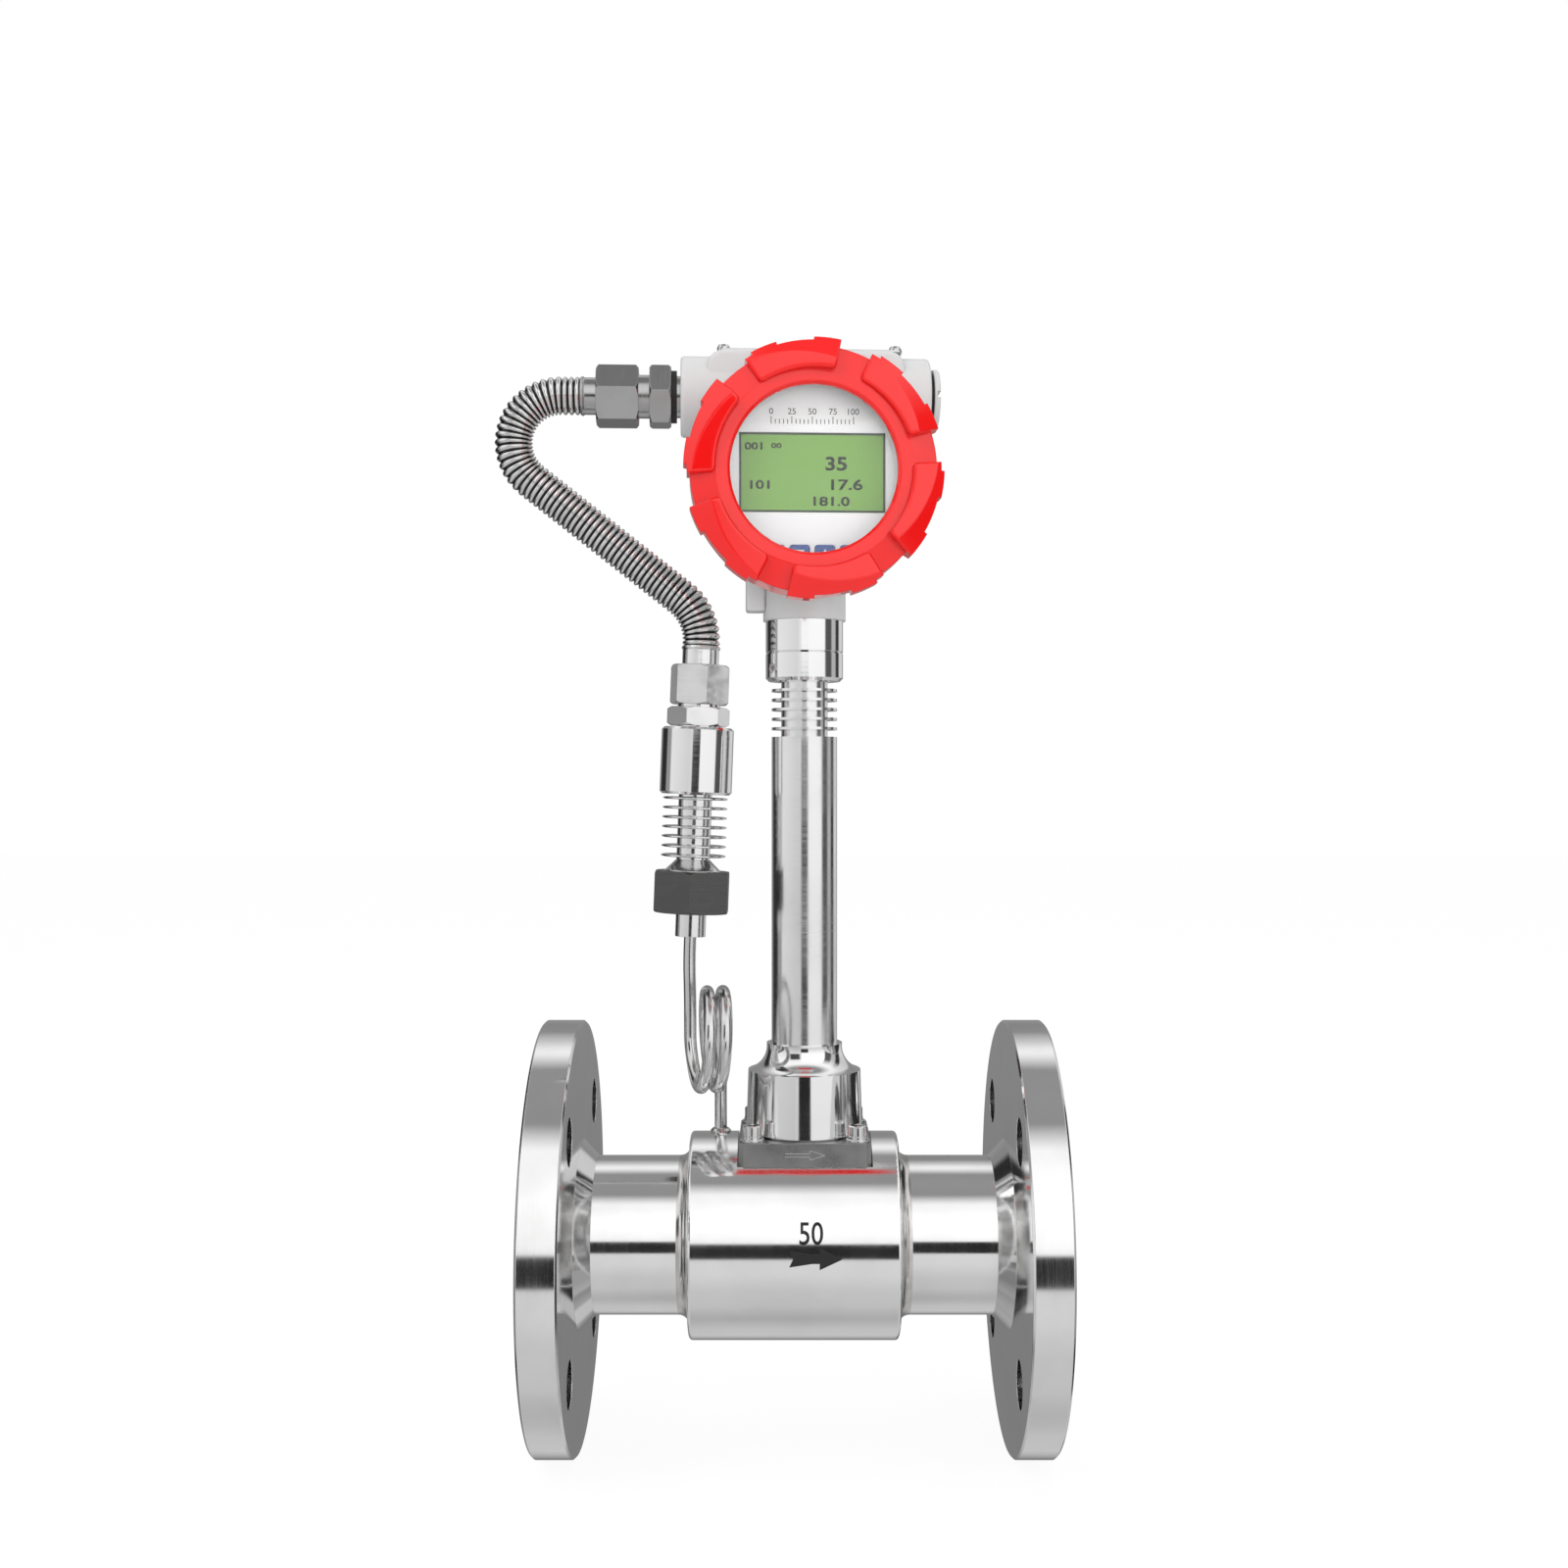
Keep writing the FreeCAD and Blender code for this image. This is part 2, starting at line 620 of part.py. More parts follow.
def stem():
    """Long tube with cooling fins turned near its top and a grooved spigot for the collar."""
    r, core, bore = STEM_D / 2, FIN_CORE_D / 2, STEM_BORE_D / 2
    points = [(bore, STEM_FOOT), (r, STEM_FOOT), (r, FINS_FROM), (core, FINS_FROM)]
    for k in range(FIN_COUNT):
        low = FINS_FROM + FIN_GAP + k * (FIN_T + FIN_GAP)
        points += [(core, low), (r, low), (r, low + FIN_T), (core, low + FIN_T)]
    spigot, groove = SPIGOT_D / 2, SPIGOT_GROOVE_D / 2
    groove_low = COLLAR_FROM + SET_SCREW_Z - SPIGOT_GROOVE_W / 2
    points += [(core, FINS_TO), (spigot, FINS_TO), (spigot, groove_low), (groove, groove_low),
               (groove, groove_low + SPIGOT_GROOVE_W), (spigot, groove_low + SPIGOT_GROOVE_W),
               (spigot, COLLAR_FROM + SPIGOT_L), (bore, COLLAR_FROM + SPIGOT_L)]
    return turned(outline(*points), V(X_STEM, 0, 0))


def set_screw_line():
    """A point on the stem's axis at the set screw's height, and the way the screw points out."""
    a = math.radians(SET_SCREW_AZIMUTH)
    return V(X_STEM, 0, COLLAR_FROM + SET_SCREW_Z), V(-math.sin(a), -math.cos(a), 0)


def collar():
    """Swivel collar: turns on the stem's spigot and screws into the housing's neck."""
    r, low, high = COLLAR_D / 2, COLLAR_FROM, COLLAR_TO
    turn_r = SPIGOT_D / 2 + SWIVEL_CLEARANCE
    turn_top = low + SPIGOT_L + SWIVEL_GAP
    line = low + COLLAR_LINE_Z
    shape = turned(
        outline((turn_r, low), (r - COLLAR_CHAMFER, low), (r, low + COLLAR_CHAMFER),
                (r, line), (r - COLLAR_LINE_W / 2, line + COLLAR_LINE_W / 2), (r, line + COLLAR_LINE_W),
                (r, high), (NIPPLE_D / 2, high), (NIPPLE_D / 2, high + NIPPLE_L),
                (WIRE_HOLE_D / 2, high + NIPPLE_L), (WIRE_HOLE_D / 2, turn_top), (turn_r, turn_top)),
        V(X_STEM, 0, 0))
    at, out = set_screw_line()
    return shape.cut(rod(SET_SCREW_D + 2 * SLIP, 0, COLLAR_D, at, out))


def set_screw():
    """Socket set screw whose tip stands in the spigot's groove."""
    at, out = set_screw_line()
    tip = SPIGOT_GROOVE_D / 2 + SET_SCREW_TIP_GAP
    top = COLLAR_D / 2 - 0.3
    screw = rod(SET_SCREW_D, tip, top, at, out)
    return screw.cut(stood(hexagon(2.0, top - 1.5, top + 1), at, out))


# Housing of the head, in the head's own frame: x right, y up, z out of the display

def head_block():
    """Squarish upper part of the casting, round at its top corners."""
    depth = BLOCK_FRONT + BLOCK_REAR
    middle = (BLOCK_FRONT - BLOCK_REAR) / 2
    block = slab(around(0, BLOCK_W / 2), (0, BLOCK_TOP), (-BLOCK_REAR, BLOCK_FRONT))
    corners = [e for e in block.Edges if abs(e.Length - depth) < 1e-6 and e.CenterOfMass.y > BLOCK_TOP - 1]
    block = block.makeFillet(BLOCK_CORNER_R, corners)
    rims = [e for e in block.Edges if abs(abs(e.CenterOfMass.z - middle) - depth / 2) < 1e-6
            and e.CenterOfMass.y > 1]
    return block.makeFillet(BLOCK_EDGE_R, rims)


def boss_pair():
    """The two cable-entry bosses, one turned bar from side to side."""
    bar = rod(BOSS_D, -BOSS_REACH, BOSS_REACH)
    bar = bar.makeFillet(BOSS_EDGE_R, [e for e in bar.Edges if e.isClosed() and e.Length > BOSS_D])
    return stood(bar, V(0, BOSS_RISE, 0), V(1, 0, 0))


def housing():
    """Cast housing with two round compartments, a partition, bosses, a neck and a ground lug."""
    barrel = rod(BARREL_D, WAIST_STEP, BARREL_END)
    waist = rod(WAIST_D, -BLOCK_REAR, WAIST_STEP)
    rear_barrel = rod(REAR_BARREL_D, -REAR_END, 0)
    neck_bar = rod(HOUSING_NECK_D, REAR_BARREL_D / 2, HEAD_RISE, V(0, 0, 0), V(0, -1, 0))
    lug_top = -REAR_BARREL_D / 2 + 3
    lug = slab(around(-LUG_OFFSET, LUG_W / 2), (-LUG_DROP, lug_top), around(0, LUG_DEPTH / 2))
    lug = lug.makeFillet(1.2, [e for e in lug.Edges if e.CenterOfMass.y < lug_top - 1])
    shell = barrel.fuse([waist, rear_barrel, head_block(), boss_pair(), neck_bar, lug])
    shell = shell.cut(rod(COMPARTMENT_D, PARTITION_FRONT, BARREL_END + 1))
    shell = shell.cut(rod(REAR_ROOM_D, -REAR_END - 1, PARTITION_REAR))
    entry = V(0, BOSS_RISE, 0)
    for side in (-1, 1):
        shell = shell.cut(rod(ENTRY_D + 2 * SLIP, BOSS_REACH - ENTRY_DEPTH, BOSS_REACH + 1, entry,
                              V(side, 0, 0)))
        shell = shell.cut(rod(WIRE_DROP_D, 0, BOSS_RISE, V(side * WIRE_DROP_X, 0, 0), V(0, 1, 0)))
    below = HEAD_RISE - NIPPLE_L
    shell = shell.cut(rod(NIPPLE_D + 2 * SLIP, below, HEAD_RISE + 1, V(0, 0, 0), V(0, -1, 0)))
    shell = shell.cut(rod(WIRE_HOLE_D, 0, below + 1, V(0, 0, 0), V(0, -1, 0)))
    shell = shell.cut(rod(FEEDTHROUGH_D + 2 * SLIP, 0, BARREL_END, V(0, -FEEDTHROUGH_DROP, 0)))
    shell = shell.cut(rod(GROUND_SCREW_D + 2 * SLIP, LUG_DEPTH / 2 - GROUND_SCREW_L - 1, LUG_DEPTH / 2 + 1,
                          ground_place(), V(0, 0, -1)))
    for place in nameplate_screw_places():
        shell = shell.cut(rod(NAMEPLATE_SCREW_D + 2 * SLIP, BLOCK_TOP - NAMEPLATE_SCREW_L, BLOCK_TOP + 1,
                              place, V(0, 1, 0)))
    return shell


def ground_place():
    """Axis of the ground screw, low on the lug."""
    return V(-LUG_OFFSET, -LUG_DROP + GROUND_HEAD_D / 2 + 0.5, 0)


def ground_screw():
    """Slotted screw in the rear face of the ground lug."""
    seat = LUG_DEPTH / 2
    shape = turned(outline((0, seat - GROUND_SCREW_L), (GROUND_SCREW_D / 2, seat - GROUND_SCREW_L),
                           (GROUND_SCREW_D / 2, seat), (GROUND_HEAD_D / 2, seat),
                           (GROUND_HEAD_D / 2, seat + GROUND_HEAD_H * 0.5),
                           (GROUND_HEAD_D / 2 - 1, seat + GROUND_HEAD_H), (0, seat + GROUND_HEAD_H)))
    slot = slab(around(0, GROUND_HEAD_D), around(0, 0.4),
                (seat + GROUND_HEAD_H * 0.5, seat + 2 * GROUND_HEAD_H))
    return stood(shape.cut(slot), ground_place(), V(0, 0, -1))


def nameplate_screw_places():
    """The two nameplate screws, near the plate's front edge."""
    forward = NAMEPLATE_FORWARD + NAMEPLATE_DEPTH / 2 - NAMEPLATE_SCREW_INSET
    return [V(x, 0, forward) for x in around(NAMEPLATE_SHIFT, NAMEPLATE_SCREW_SPAN / 2)]


def nameplate():
    """Thin bare plate on top of the housing, with its two screw holes."""
    width = NAMEPLATE_SCREW_SPAN + NAMEPLATE_HEAD_D
    plate = slab(around(NAMEPLATE_SHIFT, width / 2), (BLOCK_TOP, BLOCK_TOP + NAMEPLATE_T),
                 around(NAMEPLATE_FORWARD, NAMEPLATE_DEPTH / 2))
    plate = plate.makeFillet(2.0, [e for e in plate.Edges if abs(e.Length - NAMEPLATE_T) < 1e-6])
    for place in nameplate_screw_places():
        plate = plate.cut(rod(NAMEPLATE_SCREW_D + 2 * SLIP, 0, 2 * BLOCK_TOP, place, V(0, 1, 0)))
    return plate


def nameplate_screw(place):
    """Small pan-head screw through the nameplate."""
    seat = BLOCK_TOP + NAMEPLATE_T
    r = NAMEPLATE_SCREW_D / 2
    low = BLOCK_TOP - NAMEPLATE_SCREW_L + 0.5
    head_r = NAMEPLATE_HEAD_D / 2
    shape = turned(outline((0, low), (r, low), (r, seat), (head_r, seat),
                           (head_r, seat + NAMEPLATE_HEAD_H * 0.4),
                           (head_r - 0.6, seat + NAMEPLATE_HEAD_H), (0, seat + NAMEPLATE_HEAD_H)))
    slot = slab(around(0, NAMEPLATE_HEAD_D), around(0, 0.35), (seat + NAMEPLATE_HEAD_H * 0.5, seat + 5))
    return stood(shape.cut(slot), place, V(0, 1, 0))


# Screwed covers

def grip_block():
    """One ramped grip, centred on +x: high at its clockwise end, with two lugs on its outer side."""
    low, high = COVER_FACE, COVER_FACE + GRIP_HIGH
    r_in, r_ridge, r_out = GRIP_INNER_D / 2, GRIP_RIDGE_D / 2, GRIP_OUTER_D / 2
    side_foot = high - GRIP_SLOPE - GRIP_SIDE_L
    r_foot = COVER_SKIRT_D / 2 - 0.6
    section = outline((r_in, low - 2), (r_in, high), (r_ridge, high), (r_out, high - GRIP_SLOPE),
                      (r_out, side_foot), (r_foot, side_foot - GRIP_TAPER_L))
    block = turned(section, angle=GRIP_ARC)
    block.rotate(V(0, 0, 0), UP, -GRIP_ARC / 2)
    half_run = (r_in + r_out) / 2 * math.sin(math.radians(GRIP_ARC / 2))
    fall = math.degrees(math.atan((GRIP_HIGH - GRIP_LOW) / (2 * half_run)))
    above = slab(around(0, 2 * r_out), around(0, 2 * r_out), (0, high))
    above.rotate(V(0, 0, 0), V(1, 0, 0), -fall)
    above.translate(V(0, 0, low + (GRIP_HIGH + GRIP_LOW) / 2))
    block = block.cut(above)
    inner = [e for e in block.Edges if e.BoundBox.ZMax > low + GRIP_LOW and e.BoundBox.ZMin < low
             and abs(math.hypot(e.CenterOfMass.x, e.CenterOfMass.y) - r_in) < 0.1]
    block = block.makeFillet(GRIP_CORNER_R, inner)
    block = block.makeFillet(GRIP_EDGE_R, [e for e in block.Edges if e.BoundBox.ZMin > low])
    first = GRIP_LUG_ARC - GRIP_ARC / 2
    second = first + GRIP_POCKET_ARC + GRIP_LUG_ARC
    r_pocket = r_out - GRIP_POCKET
    for start, end in ((first, first + GRIP_POCKET_ARC), (second, second + GRIP_ARC)):
        pocket = turned(outline((r_pocket, 0), (2 * r_out, 0), (2 * r_out, 2 * high), (r_pocket, 2 * high)),
                        angle=end - start)
        pocket.rotate(V(0, 0, 0), UP, start)
        block = block.cut(pocket)
    return block


def cover_ring(inner):
    """Turned part of a cover: threaded skirt, O-ring groove and the face, closed by the inner outline."""
    r_skirt = COVER_SKIRT_D / 2
    r_thread = BARREL_D / 2 + THREAD_CLEARANCE
    foot = BARREL_END - COVER_OVERLAP
    groove_r = BARREL_D / 2 + 2 * O_RING_CLEARANCE + O_RING_SECTION
    groove_low, groove_high = around(foot + O_RING_INSET, O_RING_SECTION / 2 + O_RING_CLEARANCE)
    points = [(r_thread, foot), (r_skirt, foot), (r_skirt, COVER_FACE - COVER_FACE_FALL),
              (GRIP_INNER_D / 2, COVER_FACE)]
    points += inner
    points += [(r_thread, BARREL_END + COVER_END_GAP), (r_thread, groove_high), (groove_r, groove_high),
               (groove_r, groove_low), (r_thread, groove_low)]
    return turned(outline(*points))


def gripped(ring):
    """A cover's ring with its six ramped grips."""
    block = grip_block()
    blocks = []
    for k in range(GRIP_COUNT):
        grip = block.copy()
        middle = GRIP_FIRST + GRIP_ARC / 2 + k * 360 / GRIP_COUNT
        grip.rotate(V(0, 0, 0), UP, 90 - middle)
        blocks.append(grip)
    return ring.fuse(blocks).removeSplitter()


def front_cover():
    """Window cover: the glass seats behind its lip."""
    r_glass = GLASS_D / 2 + GLASS_SLIP
    bevel = 1.0
    lip = COVER_FACE - COVER_LIP_T
    inner = [(WINDOW_D / 2 + bevel, COVER_FACE), (WINDOW_D / 2, COVER_FACE - bevel), (WINDOW_D / 2, lip),
             (r_glass, lip), (r_glass, BARREL_END + COVER_END_GAP)]
    return gripped(cover_ring(inner))


def rear_cover():
    """Blind cover over the terminals, shaped like the front one but smaller."""
    dish = 1.5
    r_room = COMPARTMENT_D / 2
    inner = [(WINDOW_D / 2, COVER_FACE), (WINDOW_D / 2 - dish, COVER_FACE - dish), (0, COVER_FACE - dish),
             (0, COVER_FACE - dish - BLIND_T), (r_room - 2, COVER_FACE - dish - BLIND_T),
             (r_room, COVER_FACE - dish - BLIND_T - 2), (r_room, BARREL_END + COVER_END_GAP)]
    cover = gripped(cover_ring(inner))
    cover.scale(REAR_SHARE)
    return cover


def o_ring():
    """Cover seal, lying free in the skirt's groove round the barrel."""
    r = BARREL_D / 2 + O_RING_CLEARANCE + O_RING_SECTION / 2
    centre = BARREL_END - COVER_OVERLAP + O_RING_INSET
    return Part.makeTorus(r, O_RING_SECTION / 2, V(0, 0, centre))


def rear_o_ring():
    """The smaller seal of the rear cover."""
    ring = o_ring()
    ring.scale(REAR_SHARE)
    return ring


def glass_front():
    """Outer face of the window glass."""
    return COVER_FACE - COVER_LIP_T - WINDOW_SEAL_T


def window_glass():
    """Thick round window."""
    disc = rod(GLASS_D, glass_front() - GLASS_T, glass_front())
    return disc.makeChamfer(0.4, [e for e in disc.Edges if e.isClosed()])


def window_seal():
    """Thin gasket between the glass and the lip."""
    return tube(GLASS_D, WINDOW_SEAL_D, glass_front(), glass_front() + WINDOW_SEAL_T)


def window_retainer():
    """Threaded ring that holds the glass from behind."""
    return tube(GLASS_D, RETAINER_BORE_D, BARREL_END + COVER_END_GAP, glass_front() - GLASS_T)


# Display stack

def post_places():
    """Four posts on a circle, at 45 degrees."""
    r = POST_CIRCLE_D / 2
    return [V(r * math.cos(math.radians(45 + 90 * k)), r * math.sin(math.radians(45 + 90 * k)), 0)
            for k in range(4)]


def key_x(k):
    """Middle of a key along the row."""
    return (k - (KEY_COUNT - 1) / 2) * KEY_PITCH


def rounded_slab(x, width, height, r, low, high, y):
    """Rectangle with round corners, centred at x and y, extruded between two heights."""
    block = slab(around(x, width / 2), around(y, height / 2), (low, high))
    return block.makeFillet(r, [e for e in block.Edges if abs(e.Length - (high - low)) < 1e-6
                                and abs(e.BoundBox.ZLength - (high - low)) < 1e-3])


def display_plate():
    """White front panel with a window for the screen and a row of key holes."""
    plate = rod(PANEL_D, PANEL_BACK, PANEL_FRONT)
    room_w, room_h = LCD_W / 2 + LCD_SLIP, LCD_H / 2 + LCD_SLIP
    plate = plate.cut(slab(around(0, room_w), around(0, room_h), (PANEL_BACK - 1, PANEL_FRONT + 1)))
    hole_w, hole_h = KEY_W + 2 * KEY_SLIP, KEY_H + 2 * KEY_SLIP
    for k in range(KEY_COUNT):
        plate = plate.cut(rounded_slab(key_x(k), hole_w, hole_h, KEY_R + KEY_SLIP,
                                       PANEL_BACK - 1, PANEL_FRONT + 1, -KEY_DROP))
    return plate


def lcd_module():
    """Screen glass in the panel's window and the wider frame behind the panel."""
    glass = slab(around(0, LCD_W / 2), around(0, LCD_H / 2), (PANEL_BACK, PANEL_FRONT - 0.2))
    frame = slab(around(0, LCD_FRAME_W / 2), around(0, LCD_FRAME_H / 2),
                 (DISPLAY_BOARD_FRONT, PANEL_BACK))
    return glass.fuse(frame).removeSplitter()


def display_board():
    """Round circuit board with one switch under each key."""
    board = rod(BOARD_D, DISPLAY_BOARD_FRONT - BOARD_T, DISPLAY_BOARD_FRONT)
    for place in post_places():
        board = board.cut(rod(POST_D + 2 * SLIP, 0, COVER_FACE, place))
    foot = DISPLAY_BOARD_FRONT - BOARD_T / 2
    for k in range(KEY_COUNT):
        block = slab(around(key_x(k), SWITCH_SIDE / 2), around(-KEY_DROP, SWITCH_SIDE / 2),
                     (foot, DISPLAY_BOARD_FRONT + SWITCH_H))
        board = board.fuse(block.common(rod(BOARD_D, 0, COVER_FACE)))
    return board


def key(k):
    """Push key: cap through the panel, flange behind it and a stem towards the switch."""
    back = PANEL_BACK - KEY_FLANGE_GAP
    cap = rounded_slab(key_x(k), KEY_W, KEY_H, KEY_R, back - KEY_FLANGE_T / 2, PANEL_FRONT + KEY_PROUD,
                       -KEY_DROP)
    cap = cap.makeChamfer(0.25, [e for e in cap.Edges if e.BoundBox.ZMin > PANEL_FRONT + KEY_PROUD - 1e-3])
    flange_plate = rounded_slab(key_x(k), KEY_W + 2 * KEY_FLANGE, KEY_H + 2 * KEY_FLANGE, KEY_R,
                                back - KEY_FLANGE_T, back, -KEY_DROP)
    tip = DISPLAY_BOARD_FRONT + SWITCH_H + KEY_TRAVEL + KEY_REST_GAP
    leg = rod(KEY_STEM_D, tip, back - KEY_FLANGE_T / 2, V(key_x(k), -KEY_DROP, 0))
    return cap.fuse([flange_plate, leg]).removeSplitter()


def main_board():
    """Round signal board with its larger components on the rear side."""
    board = rod(BOARD_D, MAIN_BOARD_REAR, MAIN_BOARD_REAR + BOARD_T)
    for place in post_places():
        board = board.cut(rod(POST_D + 2 * SLIP, 0, COVER_FACE, place))
    foot = MAIN_BOARD_REAR + BOARD_T / 2
    span = BOARD_D / 2
    chip = slab(around(-0.23 * span, CHIP_SIDE / 2), around(0.17 * span, CHIP_SIDE / 2),
                (MAIN_BOARD_REAR - CHIP_H, foot))
    core = slab(around(0.4 * span, COIL_CORE_W / 2), around(-0.17 * span, COIL_CORE_W / 2),
                (MAIN_BOARD_REAR - COIL_CORE_H, foot))
    header = slab(around(0, HEADER_W / 2), around(-0.63 * span, HEADER_DEPTH / 2),
                  (MAIN_BOARD_REAR - HEADER_DEPTH, foot))
    cans = [rod(CAPACITOR_D, MAIN_BOARD_REAR - CAPACITOR_H, foot,
                V((k - (CAPACITOR_COUNT - 1) / 2) * CAPACITOR_PITCH, 0.57 * span, 0))
            for k in range(CAPACITOR_COUNT)]
    return board.fuse([chip, core, header] + cans)


def standoff(place):
    """Stacked post: a spacer below each board and one below the panel, on a thin core."""
    core = rod(POST_D, PARTITION_FRONT, PANEL_BACK, place)
    spans = [(PARTITION_FRONT, MAIN_BOARD_REAR), (MAIN_BOARD_REAR + BOARD_T, DISPLAY_BOARD_FRONT - BOARD_T),
             (DISPLAY_BOARD_FRONT, PANEL_BACK)]
    return core.fuse([rod(POST_SPACER_D, low, high, place) for low, high in spans]).removeSplitter()


def terminal_places():
    """Screw centres of the terminal row."""
    return [V((k - (TERMINAL_COUNT - 1) / 2) * TERMINAL_PITCH, TERMINAL_RISE, 0)
            for k in range(TERMINAL_COUNT)]


def terminal_rear():
    """Rear face of the terminal block."""
    return PARTITION_REAR - TERMINAL_DEPTH


def terminal_block():
    """Row of screw terminals on the rear of the partition, with a wire mouth under each screw."""
    block = slab(around(0, TERMINAL_ROW / 2), around(TERMINAL_RISE, TERMINAL_H / 2),
                 (terminal_rear(), PARTITION_REAR))
    for place in terminal_places():
        block = block.cut(rod(TERMINAL_WELL_D, terminal_rear() - 1, terminal_rear() + TERMINAL_WELL, place))
        block = block.cut(rod(TERMINAL_SCREW_D + 2 * SLIP, terminal_rear(), terminal_rear() + TERMINAL_WELL
                              + TERMINAL_SCREW_L, place))
        mouth = slab(around(place.x, TERMINAL_PITCH * 0.28),
                     (place.y - TERMINAL_H, place.y - TERMINAL_H * 0.3),
                     around(terminal_rear() + TERMINAL_DEPTH / 2, 2))
        block = block.cut(mouth)
    return block


def terminal_screw(place):
    """Slotted terminal screw, its head sunk in the block."""
    rear = terminal_rear()
    head = rod(TERMINAL_WELL_D - 0.6, rear + 0.4, rear + TERMINAL_WELL, place)
    foot = rear + TERMINAL_WELL
    screw = head.fuse(rod(TERMINAL_SCREW_D, foot, foot + TERMINAL_SCREW_L - 1, place))
    slot = slab(around(place.x, TERMINAL_WELL_D), around(place.y, 0.4), (rear, rear + 1.2))
    return screw.cut(slot)


def feedthrough():
    """Potted wire bush in the partition."""
    middle = (PARTITION_FRONT + PARTITION_REAR) / 2
    return rod(FEEDTHROUGH_D, *around(middle, FEEDTHROUGH_L / 2), V(0, -FEEDTHROUGH_DROP, 0))


# Cable entries on the head, still in the head's own frame

def blind_plug():
    """Screwed plug that closes the spare entry."""
    face = BOSS_REACH + PLUG_SEAL_T
    shape = turned(outline((0, BOSS_REACH - PLUG_THREAD_L), (ENTRY_D / 2, BOSS_REACH - PLUG_THREAD_L),
                           (ENTRY_D / 2, face), (PLUG_HEAD_D / 2, face),
                           (PLUG_HEAD_D / 2, face + PLUG_HEAD_T - 0.6),
                           (PLUG_HEAD_D / 2 - 0.6, face + PLUG_HEAD_T), (0, face + PLUG_HEAD_T)))
    key_slot = slab(around(0, PLUG_HEAD_D), around(0, 1.2), (face + 1.0, face + 2 * PLUG_HEAD_T))
    return stood(shape.cut(key_slot), V(0, BOSS_RISE, 0), V(1, 0, 0))


def plug_seal():
    """Rubber ring under the plug's head."""
    return tube(PLUG_SEAL_D, ENTRY_D + 2 * SLIP, BOSS_REACH, BOSS_REACH + PLUG_SEAL_T,
                V(0, BOSS_RISE, 0), V(1, 0, 0))


def on_entry(shape):
    """Turn a shape made about +z, measured from the boss's face, to the left-hand entry."""
    moved = shape.copy()
    moved.Placement = FreeCAD.Placement(V(-BOSS_REACH, BOSS_RISE, 0), FreeCAD.Rotation(V(0, 1, 0), -90))
    return moved


def gland_hex_from():
    """Where the gland's hexagon starts, out from the boss."""
    return GLAND_NECK_L + GLAND_SEAL_T


def union_from():
    """Where the union nut starts, out from the boss."""
    return gland_hex_from() + GLAND_HEX_L + GLAND_SHOWN_L


def gland_body():
    """Conduit gland: a thread into the boss, a hexagon and an outer thread for the union nut."""
    start = gland_hex_from()
    shape = rod(ENTRY_D, -GLAND_THREAD_L, start)
    shape = shape.fuse([hexagon(GLAND_HEX_AF, start, start + GLAND_HEX_L),
                        rod(GLAND_OUTER_D, start + GLAND_HEX_L, union_from() + UNION_L / 2)])
    shape = shape.cut(rod(GLAND_BORE_D, -GLAND_THREAD_L - 1, union_from() + UNION_L))
    return on_entry(shape)


def gland_seal():
    """Black rubber ring against the gland's hexagon."""
    ring = tube(GLAND_SEAL_D, ENTRY_D + 2 * SLIP, GLAND_NECK_L, gland_hex_from())
    return on_entry(ring)


def union_nut():
    """Long hexagonal nut over the gland's thread, with the ferrule's hole at its outer end."""
    low, high = union_from(), union_from() + UNION_L
    shape = hexagon(UNION_AF, low, high, turn=UNION_TURN)
    shape = shape.cut(rod(GLAND_OUTER_D + 2 * SLIP, low - 1, low + UNION_L / 2 + SLIP))
    return on_entry(shape.cut(rod(GLAND_BORE_D, low, high + 1)))


def ferrule():
    """Plain sleeve where the conduit starts."""
    low = union_from() + UNION_L
    return on_entry(ferrule_shape(low, low + FERRULE_L))


def ferrule_shape(low, high):
    """Sleeve with a small bead at the conduit's end."""
    r = FERRULE_D / 2
    return turned(outline((GLAND_BORE_D / 2, low), (r, low), (r, high - 1.6), (r + 0.5, high - 0.9),
                          (r, high), (GLAND_BORE_D / 2, high)))


# Pressure sensor column, measured along its leaning axis from the siphon's end

def sensor_axis():
    """Foot of the column and its direction, which leans towards the stem."""
    a = math.radians(SENSOR_LEAN)
    return V(X_MID - SENSOR_BACK, 0, SENSOR_BASE_Z), V(math.sin(a), 0, math.cos(a))


def on_column(shape):
    """Stand a shape made about +z on the column's axis."""
    return stood(shape, *sensor_axis())


def cooler_from():
    """Foot of the finned cooler."""
    return SENSOR_NUT_AT + SENSOR_NUT_L


def sensor_body_from():
    """Foot of the sensor's round body."""
    return cooler_from() + COOLER_L


def sensor_body_to():
    """Top of the sensor's round body."""
    return sensor_body_from() + SENSOR_BODY_L


def column_top():
    """Upper face of the lower ferrule, where the conduit ends."""
    return sensor_body_to() + LOWER_UNION_AT + LOWER_UNION_L + LOWER_FERRULE_L


def sensor_stub():
    """Adapter that takes the siphon tube and screws up into the nut."""
    shape = rod(STUB_D, 0, STUB_L)
    shape = shape.cut(rod(SIPHON_D + 2 * SLIP, -1, STUB_SOCKET_L))
    return on_column(shape.cut(rod(STUB_BORE_D, 0, STUB_L + 1)))


def sensor_nut():
    """Large hexagonal nut with a corner to the front."""
    low, high = SENSOR_NUT_AT, SENSOR_NUT_AT + SENSOR_NUT_L
    shape = hexagon(SENSOR_NUT_AF, low, high, turn=SENSOR_NUT_AZIMUTH)
    return on_column(shape.cut(rod(STUB_D + 2 * SLIP, low - 1, high + 1)))


